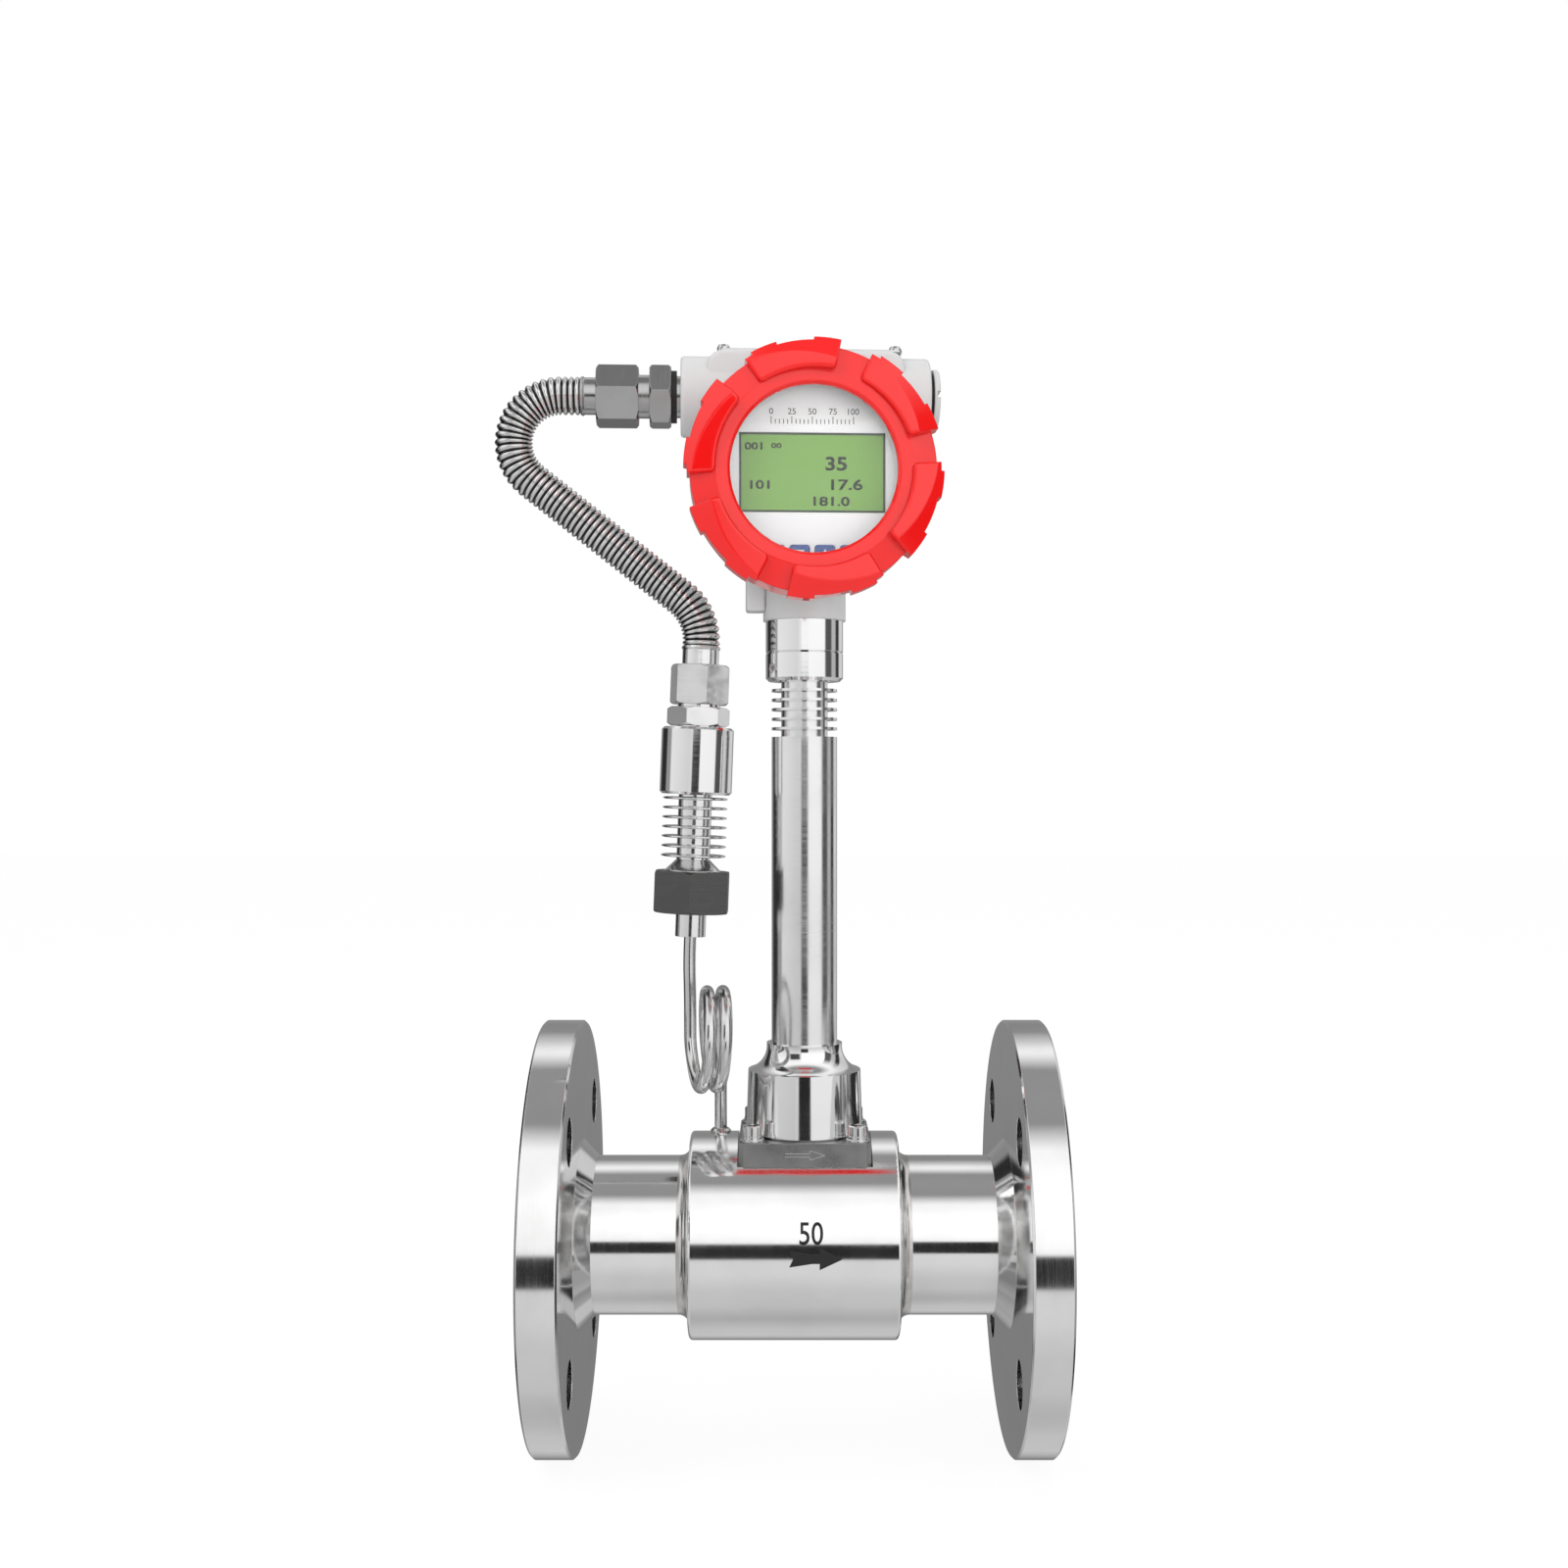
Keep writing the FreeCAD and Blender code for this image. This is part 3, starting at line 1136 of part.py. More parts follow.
def cooler():
    """Finned neck: a flare on the nut, then thin round fins with tapered rims."""
    low, high = cooler_from(), sensor_body_from()
    core, fin, bore = COOLER_CORE_D / 2, COOLER_FIN_D / 2, STUB_BORE_D / 2
    flare = COOLER_FLARE_D / 2
    points = [(bore, low), (flare + COOLER_FLARE_EDGE, low), (flare, low + COOLER_FLARE_EDGE),
              (core, low + COOLER_FLARE_L)]
    last = high - (COOLER_L - COOLER_FLARE_L - COOLER_FIN_PITCH * (COOLER_FIN_COUNT - 1)) / 2
    for k in range(COOLER_FIN_COUNT):
        z = last - (COOLER_FIN_COUNT - 1 - k) * COOLER_FIN_PITCH
        points += [(core, z - COOLER_FIN_T / 2), (fin - COOLER_FIN_TAPER, z - COOLER_FIN_T / 2),
                   (fin, z - COOLER_FIN_T / 4), (fin, z + COOLER_FIN_T / 4),
                   (fin - COOLER_FIN_TAPER, z + COOLER_FIN_T / 2), (core, z + COOLER_FIN_T / 2)]
    points += [(core, high), (bore, high)]
    return on_column(turned(outline(*points)))


def sensor_body():
    """Round body that holds the pressure cell, with a threaded nipple on top."""
    low, high = sensor_body_from(), sensor_body_to()
    r, c = SENSOR_BODY_D / 2, SENSOR_BODY_CHAMFER
    floor = 3.0
    nipple = NIPPLE_THREAD_D / 2
    top = high + NIPPLE_THREAD_L
    return on_column(turned(
        outline((STUB_BORE_D / 2, low), (r - c, low), (r, low + c), (r, high - c), (r - c, high),
                (nipple, high), (nipple, top), (GLAND_BORE_D / 2, top), (GLAND_BORE_D / 2, high - floor),
                (SENSOR_CAVITY_D / 2, high - floor), (SENSOR_CAVITY_D / 2, low + floor),
                (STUB_BORE_D / 2, low + floor))))


def pressure_cell():
    """Sensing disc that lies on the floor of the body."""
    floor = sensor_body_from() + 3.0
    return on_column(rod(CELL_D, floor, floor + CELL_T))


def lock_nut():
    """Thin hexagonal nut on the nipple."""
    low = sensor_body_to() + LOCK_NUT_AT
    shape = hexagon(LOCK_NUT_AF, low, low + LOCK_NUT_L, turn=LOCK_NUT_TURN)
    return on_column(shape.cut(rod(NIPPLE_THREAD_D + 2 * SLIP, low - 1, low + LOCK_NUT_L + 1)))


def lower_union_nut():
    """Union nut that holds the conduit to the sensor."""
    low = sensor_body_to() + LOWER_UNION_AT
    high = low + LOWER_UNION_L
    shape = hexagon(LOWER_UNION_AF, low, high, turn=LOWER_UNION_TURN)
    shape = shape.cut(rod(NIPPLE_THREAD_D + 2 * SLIP, low - 1, sensor_body_to() + NIPPLE_THREAD_L + SLIP))
    return on_column(shape.cut(rod(GLAND_BORE_D, low, high + 1)))


def lower_ferrule():
    """Plain sleeve where the conduit ends."""
    high = column_top()
    return on_column(ferrule_shape(high - LOWER_FERRULE_L, high))


# Siphon tube

def tangent_arc(start, apex, end):
    """Arc from start to end whose end tangents meet at the apex."""
    middle = (start + end) / 2
    leg = (apex - start).Length
    half_turn = math.pi / 2 - (start - apex).getAngle(middle - apex)
    radius = leg / math.tan(half_turn)
    depth = radius * (1 / math.cos(half_turn) - 1)
    via = apex + (middle - apex).normalize() * depth
    return Part.Arc(start, via, end).toShape()


def biarc(p0, t0, p1, t1):
    """Two arcs from p0 to p1 that leave along t0, arrive along t1 and share a tangent between them."""
    v, t = p1 - p0, t0 + t1
    spread = 2 * (1 - t0.dot(t1))
    reach = v.dot(t)
    leg = (-reach + math.sqrt(reach * reach + spread * v.dot(v))) / spread
    a, b = p0 + t0 * leg, p1 - t1 * leg
    joint = (a + b) / 2
    return [tangent_arc(p0, a, joint), tangent_arc(joint, b, p1)]


def coil_points():
    """Points and directions along the coil: down the back, under, up the front and over."""
    yaw = math.radians(COIL_YAW)
    axis, back = V(math.cos(yaw), math.sin(yaw), 0), V(-math.sin(yaw), math.cos(yaw), 0)
    first = V(X_MID - SENSOR_BACK, 0, COIL_Z)
    spans = COIL_TURN_COUNT * COIL_SPAN_COUNT
    points, ways = [], []
    for k in range(spans + 1):
        a = 2 * math.pi * k / COIL_SPAN_COUNT
        points.append(first + back * (COIL_R * (math.cos(a) - 1)) - UP * (COIL_R * math.sin(a))
                      + axis * (COIL_PITCH * k / COIL_SPAN_COUNT))
        way = (back * -math.sin(a) - UP * math.cos(a)) * COIL_R + axis * (COIL_PITCH / (2 * math.pi))
        ways.append(way.normalize())
    ways[0] = ways[-1] = V(0, 0, -1)
    return points, ways


def siphon_path():
    """Straight leg, leaning end, coil and straight leg as one chain of tangent lines and arcs."""
    foot, lean = sensor_axis()
    top = foot + lean * (STUB_SOCKET_L - SLIP)
    below = foot - lean * 4
    points, ways = coil_points()
    ease = V(points[0].x, points[0].y, COIL_Z + COIL_EASE)
    edges = [Part.makeLine(top, below)]
    edges += biarc(below, lean * -1, ease, V(0, 0, -1))
    edges.append(Part.makeLine(ease, points[0]))
    for k in range(len(points) - 1):
        edges += biarc(points[k], ways[k], points[k + 1], ways[k + 1])
    end = points[-1]
    edges.append(Part.makeLine(end, V(end.x, end.y, tap_wall_z() - TAP_DEPTH + SLIP)))
    return Part.Wire(edges)


def piped(path, start, way, d):
    """Round bar swept along a path that starts at a point in a direction."""
    ring = Part.Wire(Part.makeCircle(d / 2, start, way))
    return path.makePipeShell([ring], True, True)


def siphon_tube():
    """Pigtail tube that keeps a water seal between the steam and the sensor."""
    path = siphon_path()
    foot, lean = sensor_axis()
    start = foot + lean * (STUB_SOCKET_L - SLIP)
    return piped(path, start, lean, SIPHON_D).cut(piped(path, start, lean, SIPHON_BORE_D))


def tap_collar():
    """Weld collar where the siphon tube enters the body."""
    tap, wall = tap_place(), tap_wall_z()
    ring = tube(TAP_COLLAR_D, SIPHON_D + 2 * SLIP, wall - 2, wall + TAP_COLLAR_H, tap)
    ring = ring.makeChamfer(TAP_COLLAR_EDGE, [e for e in ring.Edges if e.Length > TAP_COLLAR_D * 3
                                  and e.BoundBox.ZMin > wall + TAP_COLLAR_H - 0.1 and e.isClosed()])
    return ring.cut(rod(BODY_D, 0, FACE_TO_FACE, V(0, 0, 0), V(1, 0, 0)))


# Corrugated conduit

def arc_step(heading, turn, radius):
    """Change of place, as a complex number, along an arc that turns left by the given angle."""
    side = math.copysign(1, turn)
    return side * radius * 1j * (cmath.exp(1j * heading) - cmath.exp(1j * (heading + turn)))


def legs_at(slope):
    """Start and (length, heading, turn, radius) of each leg in the XZ plane, with the middle at a slope."""
    start = complex(X_STEM - BOSS_REACH - union_from() - UNION_L - FERRULE_L, ENTRY_Z)
    foot, lean = sensor_axis()
    last = foot + lean * column_top()
    end = complex(last.x, last.z)
    first, slant, final = math.pi, -slope, -math.pi / 2 - math.radians(SENSOR_LEAN)
    over = slant + 2 * math.pi - first
    under = final - slant
    rest = (end - start - HOSE_LEAD * cmath.exp(1j * first) - arc_step(first, over, HOSE_TOP_R)
            - arc_step(slant, under, HOSE_LOW_R))
    along, down = cmath.exp(1j * slant), cmath.exp(1j * final)
    det = along.real * down.imag - along.imag * down.real
    straight = (rest.real * down.imag - rest.imag * down.real) / det
    tail = (along.real * rest.imag - along.imag * rest.real) / det
    return start, [(HOSE_LEAD, first, 0, 0), (over * HOSE_TOP_R, first, over, HOSE_TOP_R),
                   (straight, slant, 0, 0), (-under * HOSE_LOW_R, slant, under, HOSE_LOW_R),
                   (tail, final, 0, 0)]


def hose_legs():
    """The conduit's route, at the slope that leaves its named straight tail above the lower ferrule."""
    low, high = 0.1, 1.4
    while high - low > 1e-7:
        slope = (low + high) / 2
        if legs_at(slope)[1][-1][0] > HOSE_TAIL:
            low = slope
        else:
            high = slope
    return legs_at(low)


def hose_place(place, legs, distance):
    """Point and heading on the conduit's centre line at a distance from its upper end."""
    for length, heading, turn, radius in legs:
        share = min(max(distance / length, 0.0), 1.0)
        if turn:
            place += arc_step(heading, turn * share, radius) if share > 0 else 0
            heading += turn * share
        else:
            place += share * length * cmath.exp(1j * heading)
        if distance <= length:
            break
        distance -= length
    return V(place.real, 0, place.imag), V(math.cos(heading), 0, math.sin(heading))


def conduit_hose():
    """Annular corrugated tube, a ring at each crest and each valley, that follows the head's turn."""
    start, legs = hose_legs()
    total = sum(leg[0] for leg in legs)
    rings = []
    for k in range(2 * HOSE_RIDGE_COUNT + 1):
        share = k / (2 * HOSE_RIDGE_COUNT)
        across = HOSE_D if k % 2 else HOSE_VALLEY_D
        ring = Part.makeCircle(across / 2, *hose_place(start, legs, total * share))
        ring.rotate(V(X_STEM, 0, 0), UP, HEAD_YAW * (1 - share ** 2 * (3 - 2 * share)))
        rings.append(Part.Wire(ring))
    return Part.makeLoft(rings, True, True)


def build():
    """Every node by name."""
    nodes = {
        "meter_body": meter_body(),
        "neck_inlet": neck(0, 1),
        "neck_outlet": neck(FACE_TO_FACE, -1),
        "weld_rings": Part.makeCompound([weld_ring(0, 1), weld_ring(FACE_TO_FACE, -1)]),
        "flange_inlet": flange(0, 1),
        "flange_outlet": flange(FACE_TO_FACE, -1),
        "bluff_body": bluff_body(),
        "vortex_probe": vortex_probe(),
        "probe_seal": probe_seal(),
        "mount_plate": mount_plate(),
        "plate_screws": Part.makeCompound([cap_screw(c) for c in plate_corners()]),
        "plate_washers": Part.makeCompound([washer_pair(c) for c in plate_corners()]),
        "bonnet": bonnet(),
        "stem": stem(),
        "sensor_stub": sensor_stub(),
        "sensor_nut": sensor_nut(),
        "cooler": cooler(),
        "sensor_body": sensor_body(),
        "pressure_cell": pressure_cell(),
        "lock_nut": lock_nut(),
        "lower_union_nut": lower_union_nut(),
        "lower_ferrule": lower_ferrule(),
        "siphon_tube": siphon_tube(),
        "tap_collar": tap_collar(),
        "conduit_hose": conduit_hose(),
        "collar": collar(),
        "set_screw": set_screw(),
    }
    in_head = {
        "housing": housing(),
        "ground_screw": ground_screw(),
        "nameplate": nameplate(),
        "nameplate_screws": Part.makeCompound([nameplate_screw(p) for p in nameplate_screw_places()]),
        "display_plate": display_plate(),
        "lcd_module": lcd_module(),
        "display_board": display_board(),
        "main_board": main_board(),
        "standoffs": Part.makeCompound([standoff(p) for p in post_places()]),
        "terminal_block": terminal_block(),
        "terminal_screws": Part.makeCompound([terminal_screw(p) for p in terminal_places()]),
        "feedthrough": feedthrough(),
        "blind_plug": blind_plug(),
        "plug_seal": plug_seal(),
        "gland_body": gland_body(),
        "gland_seal": gland_seal(),
        "union_nut": union_nut(),
        "ferrule": ferrule(),
        "front_cover": front_cover(),
        "front_o_ring": o_ring(),
        "window_glass": window_glass(),
        "window_seal": window_seal(),
        "window_retainer": window_retainer(),
    }
    for k in range(KEY_COUNT):
        in_head[f"key_{k + 1}"] = key(k)
    nodes.update({name: to_head(shape) for name, shape in in_head.items()})
    nodes["rear_cover"] = to_head(rear_cover(), rear=True)
    nodes["rear_o_ring"] = to_head(rear_o_ring(), rear=True)
    return nodes


os.makedirs("parts", exist_ok=True)
for name, shape in build().items():
    solids_of(shape).exportStep(f"parts/{name}.step")
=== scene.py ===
"""Looks of the steam flow meter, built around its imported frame.

Metres. The origin is the centre of the inlet's raised face, +X is the flow, +Z is up and the
display looks along -Y.
"""

import logging
import math
from dataclasses import dataclass
from enum import Enum
from typing import Callable, Iterable, Sequence

import bmesh
import bpy
from mathutils import Matrix, Vector

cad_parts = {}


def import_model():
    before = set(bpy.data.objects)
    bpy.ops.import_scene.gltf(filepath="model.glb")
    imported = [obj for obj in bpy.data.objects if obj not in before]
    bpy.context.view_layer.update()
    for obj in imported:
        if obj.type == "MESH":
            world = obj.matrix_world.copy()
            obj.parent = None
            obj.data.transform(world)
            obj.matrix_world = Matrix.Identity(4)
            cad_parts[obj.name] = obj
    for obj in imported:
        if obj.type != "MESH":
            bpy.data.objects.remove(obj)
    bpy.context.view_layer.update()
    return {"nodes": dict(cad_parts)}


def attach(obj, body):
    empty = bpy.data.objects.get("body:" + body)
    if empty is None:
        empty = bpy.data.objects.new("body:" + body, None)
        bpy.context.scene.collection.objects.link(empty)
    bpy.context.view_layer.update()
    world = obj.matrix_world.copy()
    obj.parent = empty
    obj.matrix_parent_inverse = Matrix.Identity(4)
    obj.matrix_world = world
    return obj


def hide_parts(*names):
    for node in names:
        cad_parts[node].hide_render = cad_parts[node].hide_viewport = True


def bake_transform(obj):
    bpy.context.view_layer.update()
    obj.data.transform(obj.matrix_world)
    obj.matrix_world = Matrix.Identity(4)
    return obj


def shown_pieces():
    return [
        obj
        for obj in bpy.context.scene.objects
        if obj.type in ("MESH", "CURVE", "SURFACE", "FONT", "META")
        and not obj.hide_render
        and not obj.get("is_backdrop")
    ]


log = logging.getLogger("meter")

Point = tuple[float, float, float]
Colour = tuple[float, float, float]
Placing = Callable[[float, float, float], Point]
Socket = bpy.types.NodeSocket
Mesh = bpy.types.Mesh
Object = bpy.types.Object

STEM_X = 0.1041
HEAD_Z = 0.288
HEAD_YAW = math.radians(3.0)
SCREEN_OUT = 0.0448
PANEL_OUT = 0.0450
KEY_OUT = 0.0458
KEY_COUNT = 4
KEY_PITCH = 0.0092
KEY_DROP = 0.0294
BODY_RADIUS = 0.0395
BODY_MIDDLE_X = 0.1
PLATE_FRONT_Y = -0.025
PLATE_MIDDLE_Z = 0.0355
MARK_GAP = 0.000005
FLOOR_Z = -0.0825


class Grain(Enum):
    """Which way the fine machining marks of a metal run."""

    NONE = (1.0, 1.0, 1.0)
    ALONG_X = (0.02, 1.0, 1.0)
    AROUND_X = (1.0, 0.02, 0.02)
    AROUND_Y = (0.02, 1.0, 0.02)
    AROUND_Z = (0.02, 0.02, 1.0)


class Wiring:
    """Adds and links the nodes of one tree."""

    prefix = ""

    def __init__(self, tree: bpy.types.NodeTree) -> None:
        """Takes the tree to fill."""
        self.tree = tree

    def node(self, kind: str, settings: dict | None = None, **sockets: object) -> bpy.types.Node:
        """Adds a node.

        Args:
            kind: The node's type without the tree's prefix.
            settings: Attributes of the node itself.
            sockets: Input values or output sockets, by input name with underscores for spaces.

        Returns:
            The node.
        """
        made = self.tree.nodes.new(self.prefix + kind)
        for name, value in (settings or {}).items():
            setattr(made, name, value)
        for name, value in sockets.items():
            self.feed(made.inputs[name.replace("_", " ")], value)
        return made

    def feed(self, socket: Socket, value: object) -> None:
        """Links an output to an input, or sets the input's own value.

        Args:
            socket: The input.
            value: A value, or an output socket.
        """
        if isinstance(value, Socket):
            self.tree.links.new(value, socket)
        else:
            socket.default_value = value

    def math(self, operation: str, *values: object) -> Socket:
        """Adds a math node.

        Args:
            operation: What it works out.
            values: Its inputs in order, values or output sockets.

        Returns:
            Its output.
        """
        made = self.tree.nodes.new("ShaderNodeMath")
        made.operation = operation
        for socket, value in zip(made.inputs, values):
            self.feed(socket, value)
        return made.outputs[0]


class Shading(Wiring):
    """The nodes of a material or a world."""

    prefix = "ShaderNode"

    def __init__(self, tree: bpy.types.NodeTree) -> None:
        """Takes the tree and empties it."""
        super().__init__(tree)
        tree.nodes.clear()

    def ramp(self, factor: object, stops: Sequence[tuple[float, float]]) -> Socket:
        """A grey ramp.

        Args:
            factor: What drives the ramp.
            stops: Pairs of position and grey level, in order.

        Returns:
            The ramp's colour output.
        """
        made = self.node("ValToRGB", Fac=factor)
        elements = made.color_ramp.elements
        while len(elements) < len(stops):
            elements.new(1.0)
        for element, (place, level) in zip(elements, stops):
            element.position = place
            element.color = (level, level, level, 1.0)
        return made.outputs["Color"]

    def mix(self, factor: object, a: object, b: object) -> Socket:
        """Mixes two colours.

        Args:
            factor: Share of the second colour.
            a: The first colour.
            b: The second colour.

        Returns:
            The mixed colour.
        """
        made = self.tree.nodes.new("ShaderNodeMix")
        made.data_type = "RGBA"
        self.feed(made.inputs["Factor"], factor)
        colours = [s for s in made.inputs if s.type == "RGBA"]
        self.feed(colours[0], opaque(a) if isinstance(a, tuple) else a)
        self.feed(colours[1], opaque(b) if isinstance(b, tuple) else b)
        return next(s for s in made.outputs if s.type == "RGBA")

    def span(self, value: object, low: float, high: float, start: float = 0.0,
             end: float = 1.0) -> Socket:
        """Maps a value from one range to another, held at its ends."""
        return self.node("MapRange", Value=value, From_Min=low, From_Max=high, To_Min=start,
                         To_Max=end).outputs["Result"]

    def place(self, scale: Point = (1.0, 1.0, 1.0)) -> Socket:
        """Object coordinates, stretched."""
        where = self.node("TexCoord").outputs["Object"]
        return self.node("Mapping", Vector=where, Scale=scale).outputs["Vector"]

    def noise(self, scale: float, detail: float = 3.0, stretch: Point = (1.0, 1.0, 1.0)) -> Socket:
        """Noise in object coordinates.

        Args:
            scale: Features per metre.
            detail: Octaves.
            stretch: Scale of each axis.

        Returns:
            The noise's factor output.
        """
        return self.node("TexNoise", Vector=self.place(stretch), Scale=scale, Detail=detail).outputs["Fac"]

    def bump(self, height: object, distance: float, edge: float = 0.0) -> Socket:
        """Bump over rounded edges.

        Args:
            height: The bump's height, from 0 to 1.
            distance: What a height of 1 stands for, in metres.
            edge: Radius of the edges in metres.

        Returns:
            The normal.
        """
        made = self.node("Bump", Height=height, Distance=distance)
        if edge:
            rounded = self.node("Bevel", {"samples": 6}, Radius=edge)
            self.feed(made.inputs["Normal"], rounded.outputs["Normal"])
        return made.outputs["Normal"]

    def finish(self, surface: Socket, output: str = "OutputMaterial") -> None:
        """Links the surface to the tree's output."""
        self.node(output, Surface=surface)


def opaque(colour: Colour) -> tuple[float, float, float, float]:
    """A colour with full alpha."""
    return (*colour, 1.0)


def shaded(colour: Colour, factor: float) -> Colour:
    """A colour made darker or lighter."""
    return tuple(min(1.0, c * factor) for c in colour)


@dataclass(frozen=True)
class Finish:
    """What all finishes share.

    Args:
        name: The material's name.
        colour: Its main colour, linear.
        roughness: Mean roughness.
        edge: Radius of the worn edges in metres.
    """

    name: str
    colour: Colour
    roughness: float
    edge: float = 0.0

    def make(self) -> bpy.types.Material:
        """Builds the material once and returns it after that."""
        name = "look_" + self.name
        found = bpy.data.materials.get(name)
        if found is None:
            found = bpy.data.materials.new(name)
            found.use_nodes = True
            self.shade(Shading(found.node_tree))
        return found

    def shade(self, s: Shading) -> None:
        """Fills the tree; each kind of finish has its own way."""
        raise NotImplementedError

    def rough(self, s: Shading, noise: Socket, spread: float) -> Socket:
        """Roughness that wanders about its mean."""
        low, high = max(0.0, self.roughness - spread), min(1.0, self.roughness + spread)
        return s.span(noise, 0.3, 0.7, low, high)


@dataclass(frozen=True)
class Metal(Finish):
    """Bare metal with faint machining marks, stains and handling smears.

    Args:
        grain: Which way the marks run.
        marks: Depth of the marks in metres.
        pitch: Marks per metre.
        stain: How much darker the stained places are.
        patch: Size of the stained places, per metre.
        tint: Colour of the stain.
        valley_shade: Mesh attribute that is 0 in the ridges' valleys and 1 on their crests, if any; the
            valleys get painted shade, almost black.
    """

    grain: Grain = Grain.NONE
    marks: float = 0.000004
    pitch: float = 2600.0
    stain: float = 0.12
    patch: float = 45.0
    tint: Colour = (0.62, 0.60, 0.56)
    valley_shade: str = ""

    def shade(self, s: Shading) -> None:
        """Lays stains, freckles and machining marks over bare metal, and painted shade in the valleys of a
        ridged mesh.
        """
        blotch = s.noise(self.patch, 5.0)
        speck = s.noise(self.patch * 14, 2.0)
        spots = s.math("MULTIPLY", s.span(blotch, 0.45, 0.75), self.stain)
        worn = s.mix(spots, self.colour, shaded(self.tint, 0.6))
        freckles_and_shade = s.mix(s.math("MULTIPLY", speck, self.stain * 0.5), worn, shaded(self.colour, 0.75))
        # Painted shade: the valleys of a ridged mesh are darkened almost to black, as if they were in
        # shadow.
        if self.valley_shade:
            height = s.node("Attribute", {"attribute_name": self.valley_shade}).outputs["Fac"]
            freckles_and_shade = s.mix(s.span(height, 0.30, 0.72), shaded(self.colour, 0.05), freckles_and_shade)
        lines = s.noise(self.pitch, 2.0, self.grain.value)
        both = s.math("ADD", s.math("MULTIPLY", blotch, 0.6), s.math("MULTIPLY", lines, 0.4))
        rough = self.rough(s, both, self.roughness * 0.45)
        bump = s.bump(lines, self.marks, self.edge)
        s.finish(s.node("BsdfPrincipled", Base_Color=freckles_and_shade, Metallic=1.0, Roughness=rough,
                        Normal=bump).outputs["BSDF"])


@dataclass(frozen=True)
class Paint(Finish):
    """Sprayed paint on a casting: a faint orange peel, dust and slight changes of shade.

    Args:
        peel: Depth of the orange peel in metres.
        peel_scale: Its features per metre.
        coat: Weight of the clear coat.
        coat_ior: Its refractive index.
        gloss: Specular level of the colour layer.
        drift: How far the shade wanders.
    """

    peel: float = 0.00001
    peel_scale: float = 700.0
    coat: float = 0.3
    coat_ior: float = 1.5
    gloss: float = 0.5
    drift: float = 0.10

    def shade(self, s: Shading) -> None:
        """Lays a drifting colour and dust under a clear coat."""
        cloud = s.noise(38.0, 5.0)
        dust = s.span(s.noise(1500.0, 1.0), 0.62, 0.70)
        deep, pale = shaded(self.colour, 1.0 - self.drift), shaded(self.colour, 1.0 + self.drift * 0.6)
        dusty = s.mix(s.math("MULTIPLY", dust, 0.06), s.mix(cloud, deep, pale), shaded(self.colour, 0.6))
        bump = s.bump(s.noise(self.peel_scale, 3.0), self.peel, self.edge)
        rough = self.rough(s, cloud, 0.06)
        s.finish(s.node("BsdfPrincipled", Base_Color=dusty, Metallic=0.0, Roughness=rough,
                        Specular_IOR_Level=self.gloss, Normal=bump, Coat_Weight=self.coat,
                        Coat_IOR=self.coat_ior, Coat_Roughness=0.10, Coat_Normal=bump).outputs["BSDF"])


@dataclass(frozen=True)
class Moulded(Finish):
    """Moulded plastic or rubber with a fine texture.

    Args:
        texture: Depth of the texture in metres.
        scale: Its features per metre.
    """

    texture: float = 0.000012
    scale: float = 2400.0

    def shade(self, s: Shading) -> None:
        """Lays a drifting colour over a fine texture."""
        cloud = s.noise(60.0, 4.0)
        shade = s.mix(cloud, shaded(self.colour, 0.88), shaded(self.colour, 1.08))
        bump = s.bump(s.noise(self.scale, 2.0), self.texture)
        s.finish(s.node("BsdfPrincipled", Base_Color=shade, Roughness=self.rough(s, cloud, 0.08),
                        Normal=bump).outputs["BSDF"])


@dataclass(frozen=True)
class Circuit(Finish):
    """Solder mask with copper tracks under it.

    Args:
        track: Colour of the mask over copper.
        pitch: Tracks per metre.
    """

    track: Colour = (0.08, 0.36, 0.18)
    pitch: float = 260.0

    def shade(self, s: Shading) -> None:
        """Lays tracks and solder spots under the mask."""
        cells = s.node("TexBrick", {"offset": 0.37, "squash": 0.6}, Vector=s.place(), Scale=self.pitch,
                       Mortar_Size=0.03).outputs["Fac"]
        shade = s.mix(cells, self.colour, self.track)
        spots = s.span(s.noise(900.0, 1.0), 0.60, 0.62)
        soldered = s.mix(s.math("MULTIPLY", spots, 0.7), shade, (0.55, 0.56, 0.56))
        s.finish(s.node("BsdfPrincipled", Base_Color=soldered, Roughness=self.rough(s, s.noise(80.0), 0.1),
                        Normal=s.bump(cells, 0.00003)).outputs["BSDF"])


@dataclass(frozen=True)
class Screen(Finish):
    """Reflective liquid-crystal screen: a faint grid of cells over a tinted ground.

    Args:
        pitch: Cells per metre.
    """

    pitch: float = 2400.0

    def shade(self, s: Shading) -> None:
        """Lays cells over the tinted ground."""
        split = s.node("SeparateXYZ", Vector=s.place()).outputs
        waves = [s.math("SINE", s.math("MULTIPLY", split[axis], self.pitch * 2 * math.pi))
                 for axis in ("X", "Z")]
        grid = s.span(s.math("MAXIMUM", *waves), 0.9, 1.0)
        cloud = s.noise(50.0, 3.0)
        ground = s.mix(cloud, shaded(self.colour, 0.93), shaded(self.colour, 1.06))
        celled = s.mix(s.math("MULTIPLY", grid, 0.10), ground, shaded(self.colour, 0.5))
        rough = self.rough(s, cloud, 0.05)
        s.finish(s.node("BsdfPrincipled", Base_Color=celled, Roughness=rough).outputs["BSDF"])


